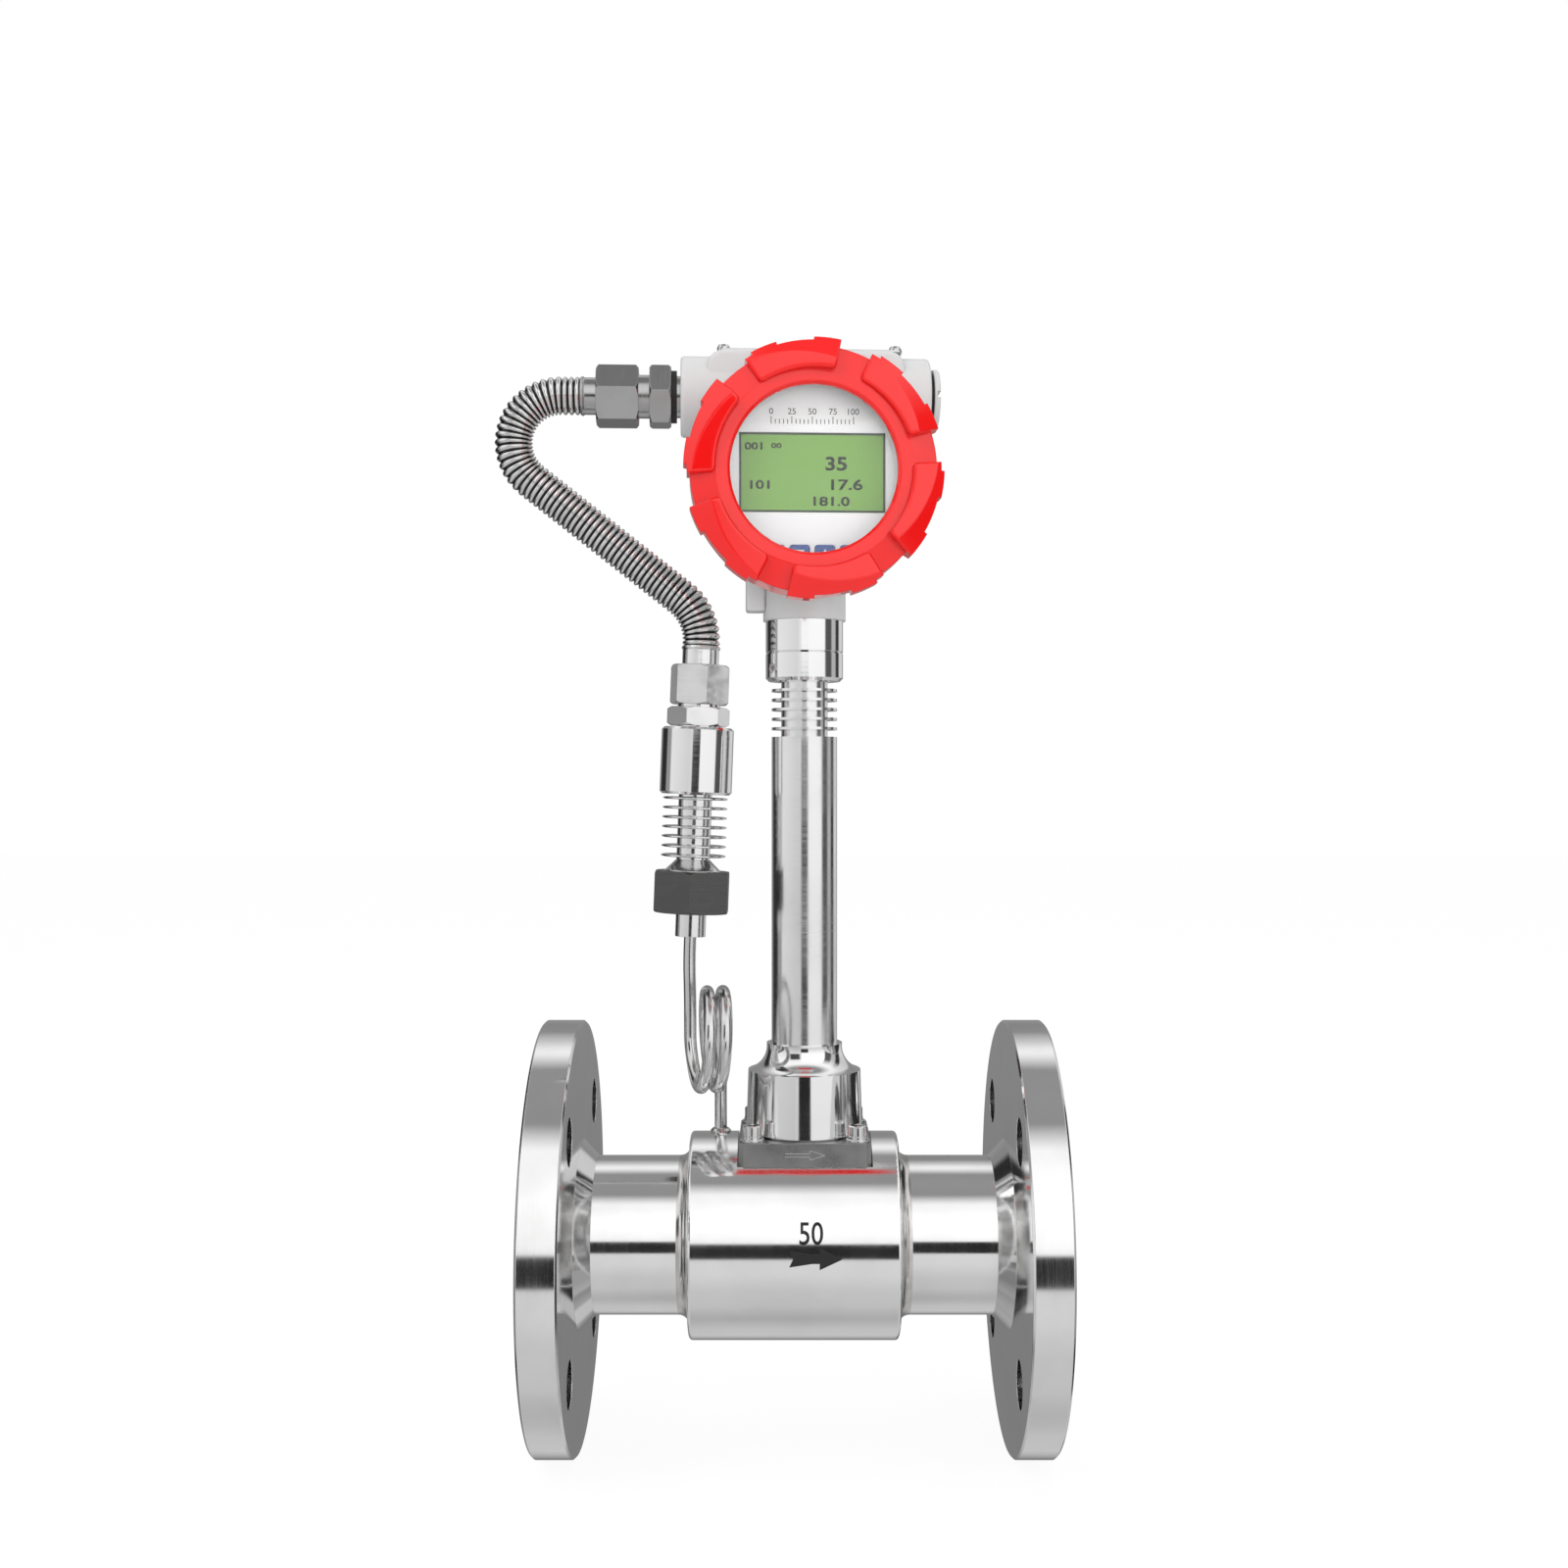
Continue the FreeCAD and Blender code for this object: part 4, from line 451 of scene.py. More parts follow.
@dataclass(frozen=True)
class Glass(Finish):
    """Clear glass that lets light through to what lies behind it."""

    def shade(self, s: Shading) -> None:
        """Makes glass that is clear to shadow and diffuse rays."""
        smears = s.noise(70.0, 4.0)
        rough = self.rough(s, smears, 0.01)
        glass = s.node("BsdfPrincipled", Base_Color=opaque(self.colour), Roughness=rough, IOR=1.3,
                       Transmission_Weight=1.0).outputs["BSDF"]
        clear = s.node("BsdfTransparent", Color=opaque(shaded(self.colour, 0.97))).outputs["BSDF"]
        path = s.node("LightPath").outputs
        passing = s.math("MAXIMUM", path["Is Shadow Ray"], path["Is Diffuse Ray"])
        surface = s.node("MixShader", Fac=passing)
        s.feed(surface.inputs[1], glass)
        s.feed(surface.inputs[2], clear)
        s.finish(surface.outputs["Shader"])


STEEL = (0.94, 0.94, 0.94)
RIDGE = "ridge"
POLISHED_X = Metal("steel_turned_x", STEEL, 0.10, grain=Grain.AROUND_X, stain=0.10)
POLISHED_Z = Metal("steel_turned_z", STEEL, 0.10, grain=Grain.AROUND_Z, stain=0.08)
STEM_STEEL = Metal("steel_stem", STEEL, 0.20, grain=Grain.AROUND_Z, stain=0.08)
FLANGE_STEEL = Metal("steel_flange", STEEL, 0.09, edge=0.0004, grain=Grain.AROUND_X, stain=0.12)
PLATE_STEEL = Metal("steel_plate", (0.37, 0.37, 0.37), 0.34, edge=0.0004, marks=0.000002,
                    stain=0.10, patch=90.0)
WELD_STEEL = Metal("steel_weld", (0.72, 0.71, 0.70), 0.16, grain=Grain.AROUND_X, marks=0.000006, stain=0.25,
                   patch=160.0, tint=(0.45, 0.40, 0.34))
SCREW_STEEL = Metal("steel_screw", (0.80, 0.80, 0.80), 0.16, edge=0.0004, grain=Grain.AROUND_Z, stain=0.2,
                    patch=200.0)
FITTING_STEEL = Metal("steel_fitting", (0.90, 0.90, 0.90), 0.15, edge=0.0004, grain=Grain.AROUND_Z,
                      stain=0.12, patch=120.0)
GLAND_STEEL = Metal("steel_gland", (0.52, 0.52, 0.52), 0.20, edge=0.0004, grain=Grain.AROUND_X, stain=0.15,
                    patch=120.0)
NUT_STEEL = Metal("steel_nut", (0.115, 0.115, 0.115), 0.30, edge=0.0004, grain=Grain.AROUND_Z, stain=0.1,
                  patch=120.0)
SIPHON_STEEL = Metal("steel_siphon", (0.74, 0.74, 0.74), 0.15, stain=0.2, patch=90.0)
# The hose's ridge valleys get painted shade, darkened almost to black.
HOSE_STEEL = Metal("steel_hose", (0.90, 0.90, 0.90), 0.14, stain=0.20, patch=140.0,
                   valley_shade=RIDGE)
HOUSING_PAINT = Paint("paint_grey", (0.62, 0.63, 0.63), 0.40, edge=0.0008, peel=0.00002, coat=0.1,
                      drift=0.05)
COVER_PAINT = Paint("paint_red", (0.82, 0.004, 0.004), 0.30, edge=0.0009, peel=0.000008, coat=1.0,
                    coat_ior=1.68, gloss=0.0, drift=0.06)
BLACK_RUBBER = Moulded("rubber_black", (0.012, 0.012, 0.012), 0.55)
SEAL_WHITE = Moulded("seal_white", (0.75, 0.74, 0.70), 0.5)
PANEL_WHITE = Moulded("panel_white", (0.96, 0.96, 0.96), 0.45, texture=0.000005)
TERMINAL_BLACK = Moulded("terminal_black", (0.02, 0.02, 0.022), 0.45)
KEY_BLUE = Moulded("key_blue", (0.012, 0.055, 0.26), 0.35)
BARE_ALUMINIUM = Metal("aluminium_bare", (0.75, 0.75, 0.76), 0.32, grain=Grain.ALONG_X, stain=0.1)
POST_BRASS = Metal("brass_post", (0.72, 0.52, 0.20), 0.25, grain=Grain.AROUND_Y, stain=0.2)
BOARD_GREEN = Circuit("board_green", (0.02, 0.16, 0.06), 0.4)
SCREEN_GREEN = Screen("screen_green", (0.185, 0.38, 0.068), 0.45)
WINDOW_GLASS = Glass("window_clear", (0.97, 0.98, 0.98), 0.02)
INK_BLACK = Moulded("ink_black", (0.010, 0.011, 0.010), 0.5, texture=0.000003)
INK_WHITE = Moulded("ink_white", (0.85, 0.85, 0.85), 0.5, texture=0.000003)
ETCHED = Metal("steel_etched", (0.70, 0.70, 0.70), 0.5, marks=0.00002, pitch=3000.0)

NODE_FINISHES: dict[Finish, tuple[str, ...]] = {
    POLISHED_X: ("meter_body", "neck_inlet", "neck_outlet", "bluff_body"),
    FLANGE_STEEL: ("flange_inlet", "flange_outlet"),
    WELD_STEEL: ("weld_rings", "tap_collar"),
    POLISHED_Z: ("bonnet", "collar", "vortex_probe", "sensor_body", "pressure_cell"),
    STEM_STEEL: ("stem",),
    PLATE_STEEL: ("mount_plate",),
    SCREW_STEEL: ("plate_screws", "plate_washers", "set_screw", "ground_screw", "nameplate_screws",
                  "terminal_screws"),
    FITTING_STEEL: ("sensor_stub", "cooler", "lock_nut", "lower_union_nut", "lower_ferrule"),
    GLAND_STEEL: ("gland_body", "union_nut", "ferrule"),
    NUT_STEEL: ("sensor_nut",),
    SIPHON_STEEL: ("siphon_tube",),
    HOSE_STEEL: ("conduit_hose",),
    HOUSING_PAINT: ("housing", "blind_plug"),
    COVER_PAINT: ("front_cover", "rear_cover"),
    BLACK_RUBBER: ("front_o_ring", "rear_o_ring", "plug_seal", "gland_seal", "window_seal"),
    SEAL_WHITE: ("probe_seal",),
    PANEL_WHITE: ("display_plate",),
    SCREEN_GREEN: ("lcd_module",),
    KEY_BLUE: ("key_1", "key_2", "key_3", "key_4"),
    TERMINAL_BLACK: ("terminal_block", "feedthrough"),
    BOARD_GREEN: ("display_board", "main_board"),
    POST_BRASS: ("standoffs",),
    BARE_ALUMINIUM: ("nameplate", "window_retainer"),
    WINDOW_GLASS: ("window_glass",),
}


def dress_nodes(nodes: dict[str, Object]) -> None:
    """Gives every node of the frame its finish.

    Args:
        nodes: The frame's nodes by name.
    """
    for finish, names in NODE_FINISHES.items():
        for name in names:
            slots = nodes[name].material_slots
            if not slots:
                nodes[name].data.materials.append(finish.make())
            for slot in slots:
                slot.material = finish.make()
    missing = set(nodes) - {name for names in NODE_FINISHES.values() for name in names}
    if missing:
        raise ValueError(f"nodes with no finish: {sorted(missing)}")


def linked(name: str, data: bpy.types.ID) -> Object:
    """Puts a mesh, curve, lamp or camera into the scene.

    Args:
        name: The object's name.
        data: What it shows.

    Returns:
        The object.
    """
    made = bpy.data.objects.new(name, data)
    bpy.context.scene.collection.objects.link(made)
    return made


def piece_from_mesh(name: str, mesh: Mesh, finish: Finish, body: str) -> None:
    """Makes a piece that rides on a body.

    Args:
        name: The piece's name.
        mesh: Its mesh, in the row frame.
        finish: Its finish.
        body: The body that it rides on.
    """
    mesh.materials.clear()
    mesh.materials.append(finish.make())
    piece = linked(name, mesh)
    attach(piece, body)


class Graph(Wiring):
    """A Geometry Nodes group with named inputs, applied to a curve and turned into a plain mesh."""

    def __init__(self, name: str, inputs: dict[str, float]) -> None:
        """Starts the group.

        Args:
            name: Its name.
            inputs: Its inputs' defaults by name.
        """
        super().__init__(bpy.data.node_groups.new(name, "GeometryNodeTree"))
        face = self.tree.interface
        face.new_socket("Geometry", in_out="INPUT", socket_type="NodeSocketGeometry")
        face.new_socket("Geometry", in_out="OUTPUT", socket_type="NodeSocketGeometry")
        for label, default in inputs.items():
            face.new_socket(label, in_out="INPUT", socket_type="NodeSocketFloat").default_value = default
        self.source = self.tree.nodes.new("NodeGroupInput").outputs

    def close(self, geometry: Socket, finish: Finish) -> None:
        """Ends the group in real, finished geometry.

        Args:
            geometry: What it has made.
            finish: The finish of it all.
        """
        real = self.node("GeometryNodeRealizeInstances", Geometry=geometry)
        smooth = self.node("GeometryNodeSetShadeSmooth", Geometry=real.outputs[0])
        done = self.node("GeometryNodeSetMaterial", Geometry=smooth.outputs[0], Material=finish.make())
        self.feed(self.tree.nodes.new("NodeGroupOutput").inputs["Geometry"], done.outputs["Geometry"])

    def run(self, carrier: Object, values: dict[str, float]) -> Mesh:
        """Runs the group on an object.

        Args:
            carrier: The object that the group works on, removed afterwards.
            values: The group's inputs by name.

        Returns:
            The plain mesh.
        """
        modifier = carrier.modifiers.new("graph", "NODES")
        modifier.node_group = self.tree
        keys = {item.name: item.identifier for item in self.tree.interface.items_tree
                if item.in_out == "INPUT"}
        for label, value in values.items():
            modifier[keys[label]] = value
        depsgraph = bpy.context.evaluated_depsgraph_get()
        depsgraph.update()
        mesh = bpy.data.meshes.new_from_object(carrier.evaluated_get(depsgraph), depsgraph=depsgraph)
        carrier.modifiers.remove(modifier)
        bpy.data.objects.remove(carrier)
        return mesh


def curve_object(name: str, points: Sequence[tuple[Point, Point, Point]]) -> Object:
    """An open Bezier curve.

    Args:
        name: The object's name.
        points: For each point its place, and its handles before and after.

    Returns:
        The curve's object, linked to the scene.
    """
    data = bpy.data.curves.new(name, "CURVE")
    data.dimensions = "3D"
    data.resolution_u = 64
    spline = data.splines.new("BEZIER")
    spline.bezier_points.add(len(points) - 1)
    for knot, (place, before, after) in zip(spline.bezier_points, points):
        knot.co, knot.handle_left, knot.handle_right = place, before, after
    return linked(name, data)


@dataclass(frozen=True)
class Corrugation:
    """A ridged tube along a curve.

    Args:
        crest: Outer radius.
        valley: Radius between ridges.
        ridges: Number of ridges.
        around: Points round the tube.
        per_ridge: Points along each ridge.
    """

    crest: float
    valley: float
    ridges: int
    around: int = 48
    per_ridge: int = 8

    def mesh(self, curve: Object, finish: Finish) -> Mesh:
        """Sweeps the ridged tube along a curve.

        Args:
            curve: The curve, which is used up.
            finish: The tube's finish.

        Returns:
            The mesh.
        """
        sizes = {"Crest": self.crest, "Valley": self.valley, "Ridges": float(self.ridges)}
        graph = Graph("corrugation", sizes)
        source = graph.source
        resampled = graph.node("GeometryNodeResampleCurve", Curve=source["Geometry"],
                               Count=self.ridges * self.per_ridge + 1)
        along = graph.node("GeometryNodeCaptureAttribute", {"domain": "POINT"})
        along.capture_items.new("FLOAT", "along")
        graph.feed(along.inputs[0], resampled.outputs["Curve"])
        graph.feed(along.inputs[1], graph.node("GeometryNodeSplineParameter").outputs["Factor"])
        ring = graph.node("GeometryNodeCurvePrimitiveCircle", Resolution=self.around,
                          Radius=source["Valley"])
        tube = graph.node("GeometryNodeCurveToMesh", Curve=along.outputs[0],
                          Profile_Curve=ring.outputs["Curve"], Fill_Caps=True)
        phase = graph.math("MULTIPLY", along.outputs[1], source["Ridges"])
        ridge = graph.math("ABSOLUTE", graph.math("SINE", graph.math("MULTIPLY", phase, math.pi)))
        height = graph.math("MULTIPLY", ridge, graph.math("SUBTRACT", source["Crest"], source["Valley"]))
        outwards = graph.node("GeometryNodeInputNormal").outputs["Normal"]
        offset = graph.node("ShaderNodeVectorMath", {"operation": "SCALE"}, Vector=outwards, Scale=height)
        moved = graph.node("GeometryNodeSetPosition", Geometry=tube.outputs["Mesh"],
                           Offset=offset.outputs["Vector"])
        marked = graph.node("GeometryNodeStoreNamedAttribute", {"data_type": "FLOAT", "domain": "POINT"},
                            Geometry=moved.outputs["Geometry"], Name=RIDGE, Value=ridge)
        graph.close(marked.outputs["Geometry"], finish)
        return graph.run(curve, sizes)


def in_head(x: float, out: float, z: float, share: float = 1.0) -> Vector:
    """A point of the head, turned with it about the stem.

    Args:
        x: Distance right of the stem.
        out: Distance out of the display.
        z: Height in the row frame.
        share: How much of the head's turn the point follows.

    Returns:
        The point in the row frame.
    """
    turn = HEAD_YAW * share
    return Vector((STEM_X + x * math.cos(turn) + out * math.sin(turn),
                   x * math.sin(turn) - out * math.cos(turn), z))


def heading(angle: float) -> Vector:
    """The direction at an angle in the X-Z plane."""
    return Vector((math.cos(angle), 0.0, math.sin(angle)))


def left_of(angle: float) -> Vector:
    """The direction to the left of a heading in the X-Z plane."""
    return Vector((-math.sin(angle), 0.0, math.cos(angle)))


@dataclass(frozen=True)
class Conduit:
    """The corrugated conduit from the sensor to the head, flat but for the head's turn.

    Args:
        reach: How far left of the stem it leaves the upper ferrule.
        rise: How far that is above the head's middle.
        lead: Length of the straight run at the top.
        over: Radius of the bend that turns it back.
        slant: Slope of the long run, in degrees below the horizontal.
        under: Radius of the lower bend.
        foot: Where it enters the lower ferrule, as X and Z.
        lean: Lean of the sensor's column, in degrees.
        form: Its ridges.
        over_steps: Spans of the upper bend.
        under_steps: Spans of the lower bend.
        handle: Length of a curve's handle, as a share of its span.
        stiff: Length at the foot that stays put as the head turns; not used.
    """

    reach: float = 0.0865
    rise: float = 0.0365
    lead: float = 0.0076
    over: float = 0.0182
    slant: float = 38.0
    under: float = 0.021
    foot: tuple[float, float] = (0.063978, 0.22832)
    lean: float = 2.15
    form: Corrugation = Corrugation(crest=0.0073, valley=0.0061, ridges=63)
    over_steps: int = 3
    under_steps: int = 2
    handle: float = 0.35
    stiff: float = 0.006

    def stations(self) -> list[tuple[Vector, Vector]]:
        """Follows the route before the head's turn.

        Returns:
            Places on it, each with the heading there.
        """
        first, slant, last = math.pi, -math.radians(self.slant), -math.pi / 2 - math.radians(self.lean)
        top = Vector((STEM_X - self.reach, 0.0, HEAD_Z + self.rise))
        foot = Vector((self.foot[0], 0.0, self.foot[1]))
        hub = top + heading(first) * self.lead + left_of(first) * self.over
        turn = slant + 2 * math.pi - first
        made = [(top, heading(first))]
        for k in range(self.over_steps + 1):
            angle = first + turn * k / self.over_steps
            made.append((hub - left_of(angle) * self.over, heading(angle)))
        leave = made[-1][0]
        rest = foot - leave - (left_of(last) - left_of(slant)) * self.under
        along, down = heading(slant), heading(last)
        run = (rest.x * down.z - rest.z * down.x) / (along.x * down.z - along.z * down.x)
        centre = leave + along * run - left_of(slant) * self.under
        for k in range(self.under_steps + 1):
            angle = slant + (last - slant) * k / self.under_steps
            made.append((centre + left_of(angle) * self.under, heading(angle)))
        made.append((foot, heading(last)))
        return made

    def knots(self) -> list[tuple[Point, Point, Point]]:
        """Bends the route with the head's turn, which it takes up from foot to top.

        Returns:
            Bezier points, each with its place and its two handles.
        """
        stations = self.stations()
        spans = [(b[0] - a[0]).length for a, b in zip(stations, stations[1:])]
        made = []
        for index, (place, way) in enumerate(stations):
            before, after = spans[max(index - 1, 0)], spans[min(index, len(spans) - 1)]
            done = sum(spans[:index]) / sum(spans)
            follow = 1.0 - done * done * (3.0 - 2.0 * done)
            points = (place, place - way * before * self.handle, place + way * after * self.handle)
            made.append(tuple(tuple(in_head(p.x - STEM_X, 0.0, p.z, follow)) for p in points))
        return made

    def build(self) -> None:
        """Makes the conduit, bent to follow the head's set turn."""
        mesh = self.form.mesh(curve_object("conduit_route", self.knots()), HOSE_STEEL)
        piece = linked("conduit_ridged", mesh)
        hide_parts("conduit_hose")
        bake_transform(piece)


class Lettering:
    """Flat figures turned into meshes, laid on a plane or wrapped round the body."""

    FIGURE_SHARE = 0.69  # Height of a figure as a share of the font's size.

    @staticmethod
    def flat(text: str, height: float, width: float | None = None, bold: float = 0.0) -> Mesh:
        """A mesh of plain figures in the XY plane, centred on the origin.

        Args:
            text: The figures.
            height: Height of a figure.
            width: Width of the whole line, or none for the figures' own.
            bold: How far the strokes grow, as a share of the height.

        Returns:
            The mesh.
        """
        data = bpy.data.curves.new("figures", "FONT")
        data.body = text
        data.align_x, data.align_y = "CENTER", "CENTER"
        data.size = height / Lettering.FIGURE_SHARE
        data.offset = bold * height
        data.resolution_u = 6
        carrier = linked("figures", data)
        depsgraph = bpy.context.evaluated_depsgraph_get()
        depsgraph.update()
        mesh = bpy.data.meshes.new_from_object(carrier.evaluated_get(depsgraph), depsgraph=depsgraph)
        bpy.data.objects.remove(carrier)
        xs, ys = [v.co.x for v in mesh.vertices], [v.co.y for v in mesh.vertices]
        stretch = width / (max(xs) - min(xs)) if width else 1.0
        mesh.transform(Matrix.Translation((-(max(xs) + min(xs)) / 2, -(max(ys) + min(ys)) / 2, 0.0)))
        mesh.transform(Matrix.Diagonal((stretch, height / (max(ys) - min(ys)), 1.0, 1.0)))
        return mesh

    @staticmethod
    def outline(points: Sequence[tuple[float, float]]) -> Mesh:
        """Fills a flat shape.

        Args:
            points: Its corners in order.

        Returns:
            The mesh.
        """
        work = bmesh.new()
        ring = [work.verts.new((x, y, 0.0)) for x, y in points]
        edges = [work.edges.new((ring[k], ring[(k + 1) % len(ring)])) for k in range(len(ring))]
        bmesh.ops.triangle_fill(work, edges=edges, use_beauty=True)
        mesh = bpy.data.meshes.new("shape")
        work.to_mesh(mesh)
        work.free()
        return mesh

    @staticmethod
    def joined(meshes: Iterable[Mesh]) -> Mesh:
        """Joins several meshes.

        Args:
            meshes: The meshes.

        Returns:
            One mesh.
        """
        work = bmesh.new()
        for mesh in meshes:
            work.from_mesh(mesh)
        made = bpy.data.meshes.new("joined")
        work.to_mesh(made)
        work.free()
        return made

    @staticmethod
    def moved(mesh: Mesh, x: float, y: float) -> Mesh:
        """The mesh, shifted in its plane."""
        mesh.transform(Matrix.Translation((x, y, 0.0)))
        return mesh

    @staticmethod
    def raised(mesh: Mesh, place: Placing, step: float | None = None,
               thickness: float = 0.00004) -> Mesh:
        """Gives flat marks a slight thickness and lays them on a surface.

        Args:
            mesh: Marks in the XY plane.
            place: Maps the marks' x and y, and a height off the surface, to a point in the row frame.
            step: Cuts the marks every so far along y, where the surface is round.
            thickness: Height of the marks.

        Returns:
            The mesh.
        """
        work = bmesh.new()
        work.from_mesh(mesh)
        if step:
            heights = [v.co.y for v in work.verts]
            y = math.floor(min(heights) / step) * step
            while y < max(heights):
                geometry = list(work.verts) + list(work.edges) + list(work.faces)
                bmesh.ops.bisect_plane(work, geom=geometry, plane_co=(0, y, 0), plane_no=(0, 1, 0))
                y += step
        made = bmesh.ops.extrude_face_region(work, geom=list(work.faces))
        top = {v for v in made["geom"] if isinstance(v, bmesh.types.BMVert)}
        for vertex in work.verts:
            height = thickness if vertex in top else 0.0
            vertex.co = place(vertex.co.x, vertex.co.y, height)
        bmesh.ops.recalc_face_normals(work, faces=list(work.faces))
        done = bpy.data.meshes.new("marks")
        work.to_mesh(done)
        work.free()
        return done


def on_body(x: float, y: float, height: float) -> Point:
    """A point on the front of the round body: x along the pipe from its middle, y along the arc."""
    angle = y / BODY_RADIUS
    radius = BODY_RADIUS + 2 * MARK_GAP + height
    return (BODY_MIDDLE_X + x, -radius * math.cos(angle), radius * math.sin(angle))


def on_plate(x: float, y: float, height: float) -> Point:
    """A point on the front face of the mounting plate."""
    return (STEM_X + x, PLATE_FRONT_Y - MARK_GAP - height, PLATE_MIDDLE_Z + y)


def on_panel(out: float) -> Placing:
    """Places marks on a plane of the display, at a distance out from the stem's axis."""
    return lambda x, y, height: tuple(in_head(x, out + MARK_GAP + height, HEAD_Z + y))


@dataclass(frozen=True)
class FlowMarks:
    """The size and the flow arrow on the body, and the etched arrow on the plate.

    Args:
        figure_height: Height of the size's figures.
        figure_width: Width of the size.
        size_at: Middle of the size, along the pipe and along the arc.
        arrow_at: Middle of the arrow.
        facet: Length of the facets round the body.
        etching: Height of the etched arrow.
    """

    figure_height: float = 0.0083
    figure_width: float = 0.0088
    size_at: tuple[float, float] = (0.0062, 0.0096)
    arrow_at: tuple[float, float] = (0.0081, 0.0003)
    facet: float = 0.0007
    etching: float = 0.00002

    def arrow(self) -> Mesh:
        """A solid arrow with a notched tail."""
        corners = [(-0.0100, 0.0030), (-0.0086, 0.0), (-0.0100, -0.0030), (-0.0015, -0.0017),
                   (0.0012, -0.0017), (0.0012, -0.0040), (0.0097, 0.0), (0.0012, 0.0040), (0.0012, 0.0017),
                   (-0.0015, 0.0017)]
        return Lettering.outline(corners)

    def open_arrow(self) -> Mesh:
        """The outline of an arrow, in thin lines."""
        corners = [(-0.0075, 0.0006), (0.0018, 0.0006), (0.0018, 0.0018), (0.0075, 0.0), (0.0018, -0.0018),
                   (0.0018, -0.0006), (-0.0075, -0.0006)]
        return Lettering.joined(self.stroke(a, b) for a, b in zip(corners, corners[1:]))

    def build(self) -> None:
        """Makes the marks."""
        size = Lettering.flat("50", self.figure_height, self.figure_width, bold=0.012)
        flat = [Lettering.moved(size, *self.size_at), Lettering.moved(self.arrow(), *self.arrow_at)]
        black = Lettering.raised(Lettering.joined(flat), on_body, step=self.facet)
        etched = Lettering.raised(self.open_arrow(), on_plate, thickness=self.etching)
        piece_from_mesh("flow_marks", black, INK_BLACK, "meter")
        piece_from_mesh("plate_arrow", etched, ETCHED, "meter")

    @staticmethod
    def stroke(a: tuple[float, float], b: tuple[float, float], width: float = 0.00022) -> Mesh:
        """A straight line.

        Args:
            a: One end.
            b: The other end.
            width: Its width.

        Returns:
            The mesh.
        """
        start, end = Vector(a), Vector(b)
        along = (end - start).normalized() * width / 2
        side = Vector((-along.y, along.x))
        corners = [start - along + side, start - along - side, end + along - side, end + along + side]
        return Lettering.outline([tuple(c) for c in corners])


@dataclass(frozen=True)
class Readout:
    """A line of figures on the screen.

    Args:
        text: Its figures.
        x: Its middle across, from the middle of the head.
        y: Its middle up.
        height: Height of a figure.
        width: Width of the line.
    """

    text: str
    x: float
    y: float
    height: float
    width: float


READOUTS = (
    Readout("001", -0.0214, 0.0095, 0.0027, 0.0064),
    Readout("00", -0.0131, 0.0097, 0.0019, 0.0037),
    Readout("35", 0.0087, 0.0033, 0.0051, 0.0078),
    Readout("101", -0.0191, -0.0045, 0.0032, 0.0071),
    Readout("17.6", 0.0126, -0.0043, 0.0040, 0.0115),
    Readout("181.0", 0.0070, -0.0104, 0.0034, 0.0132),
)


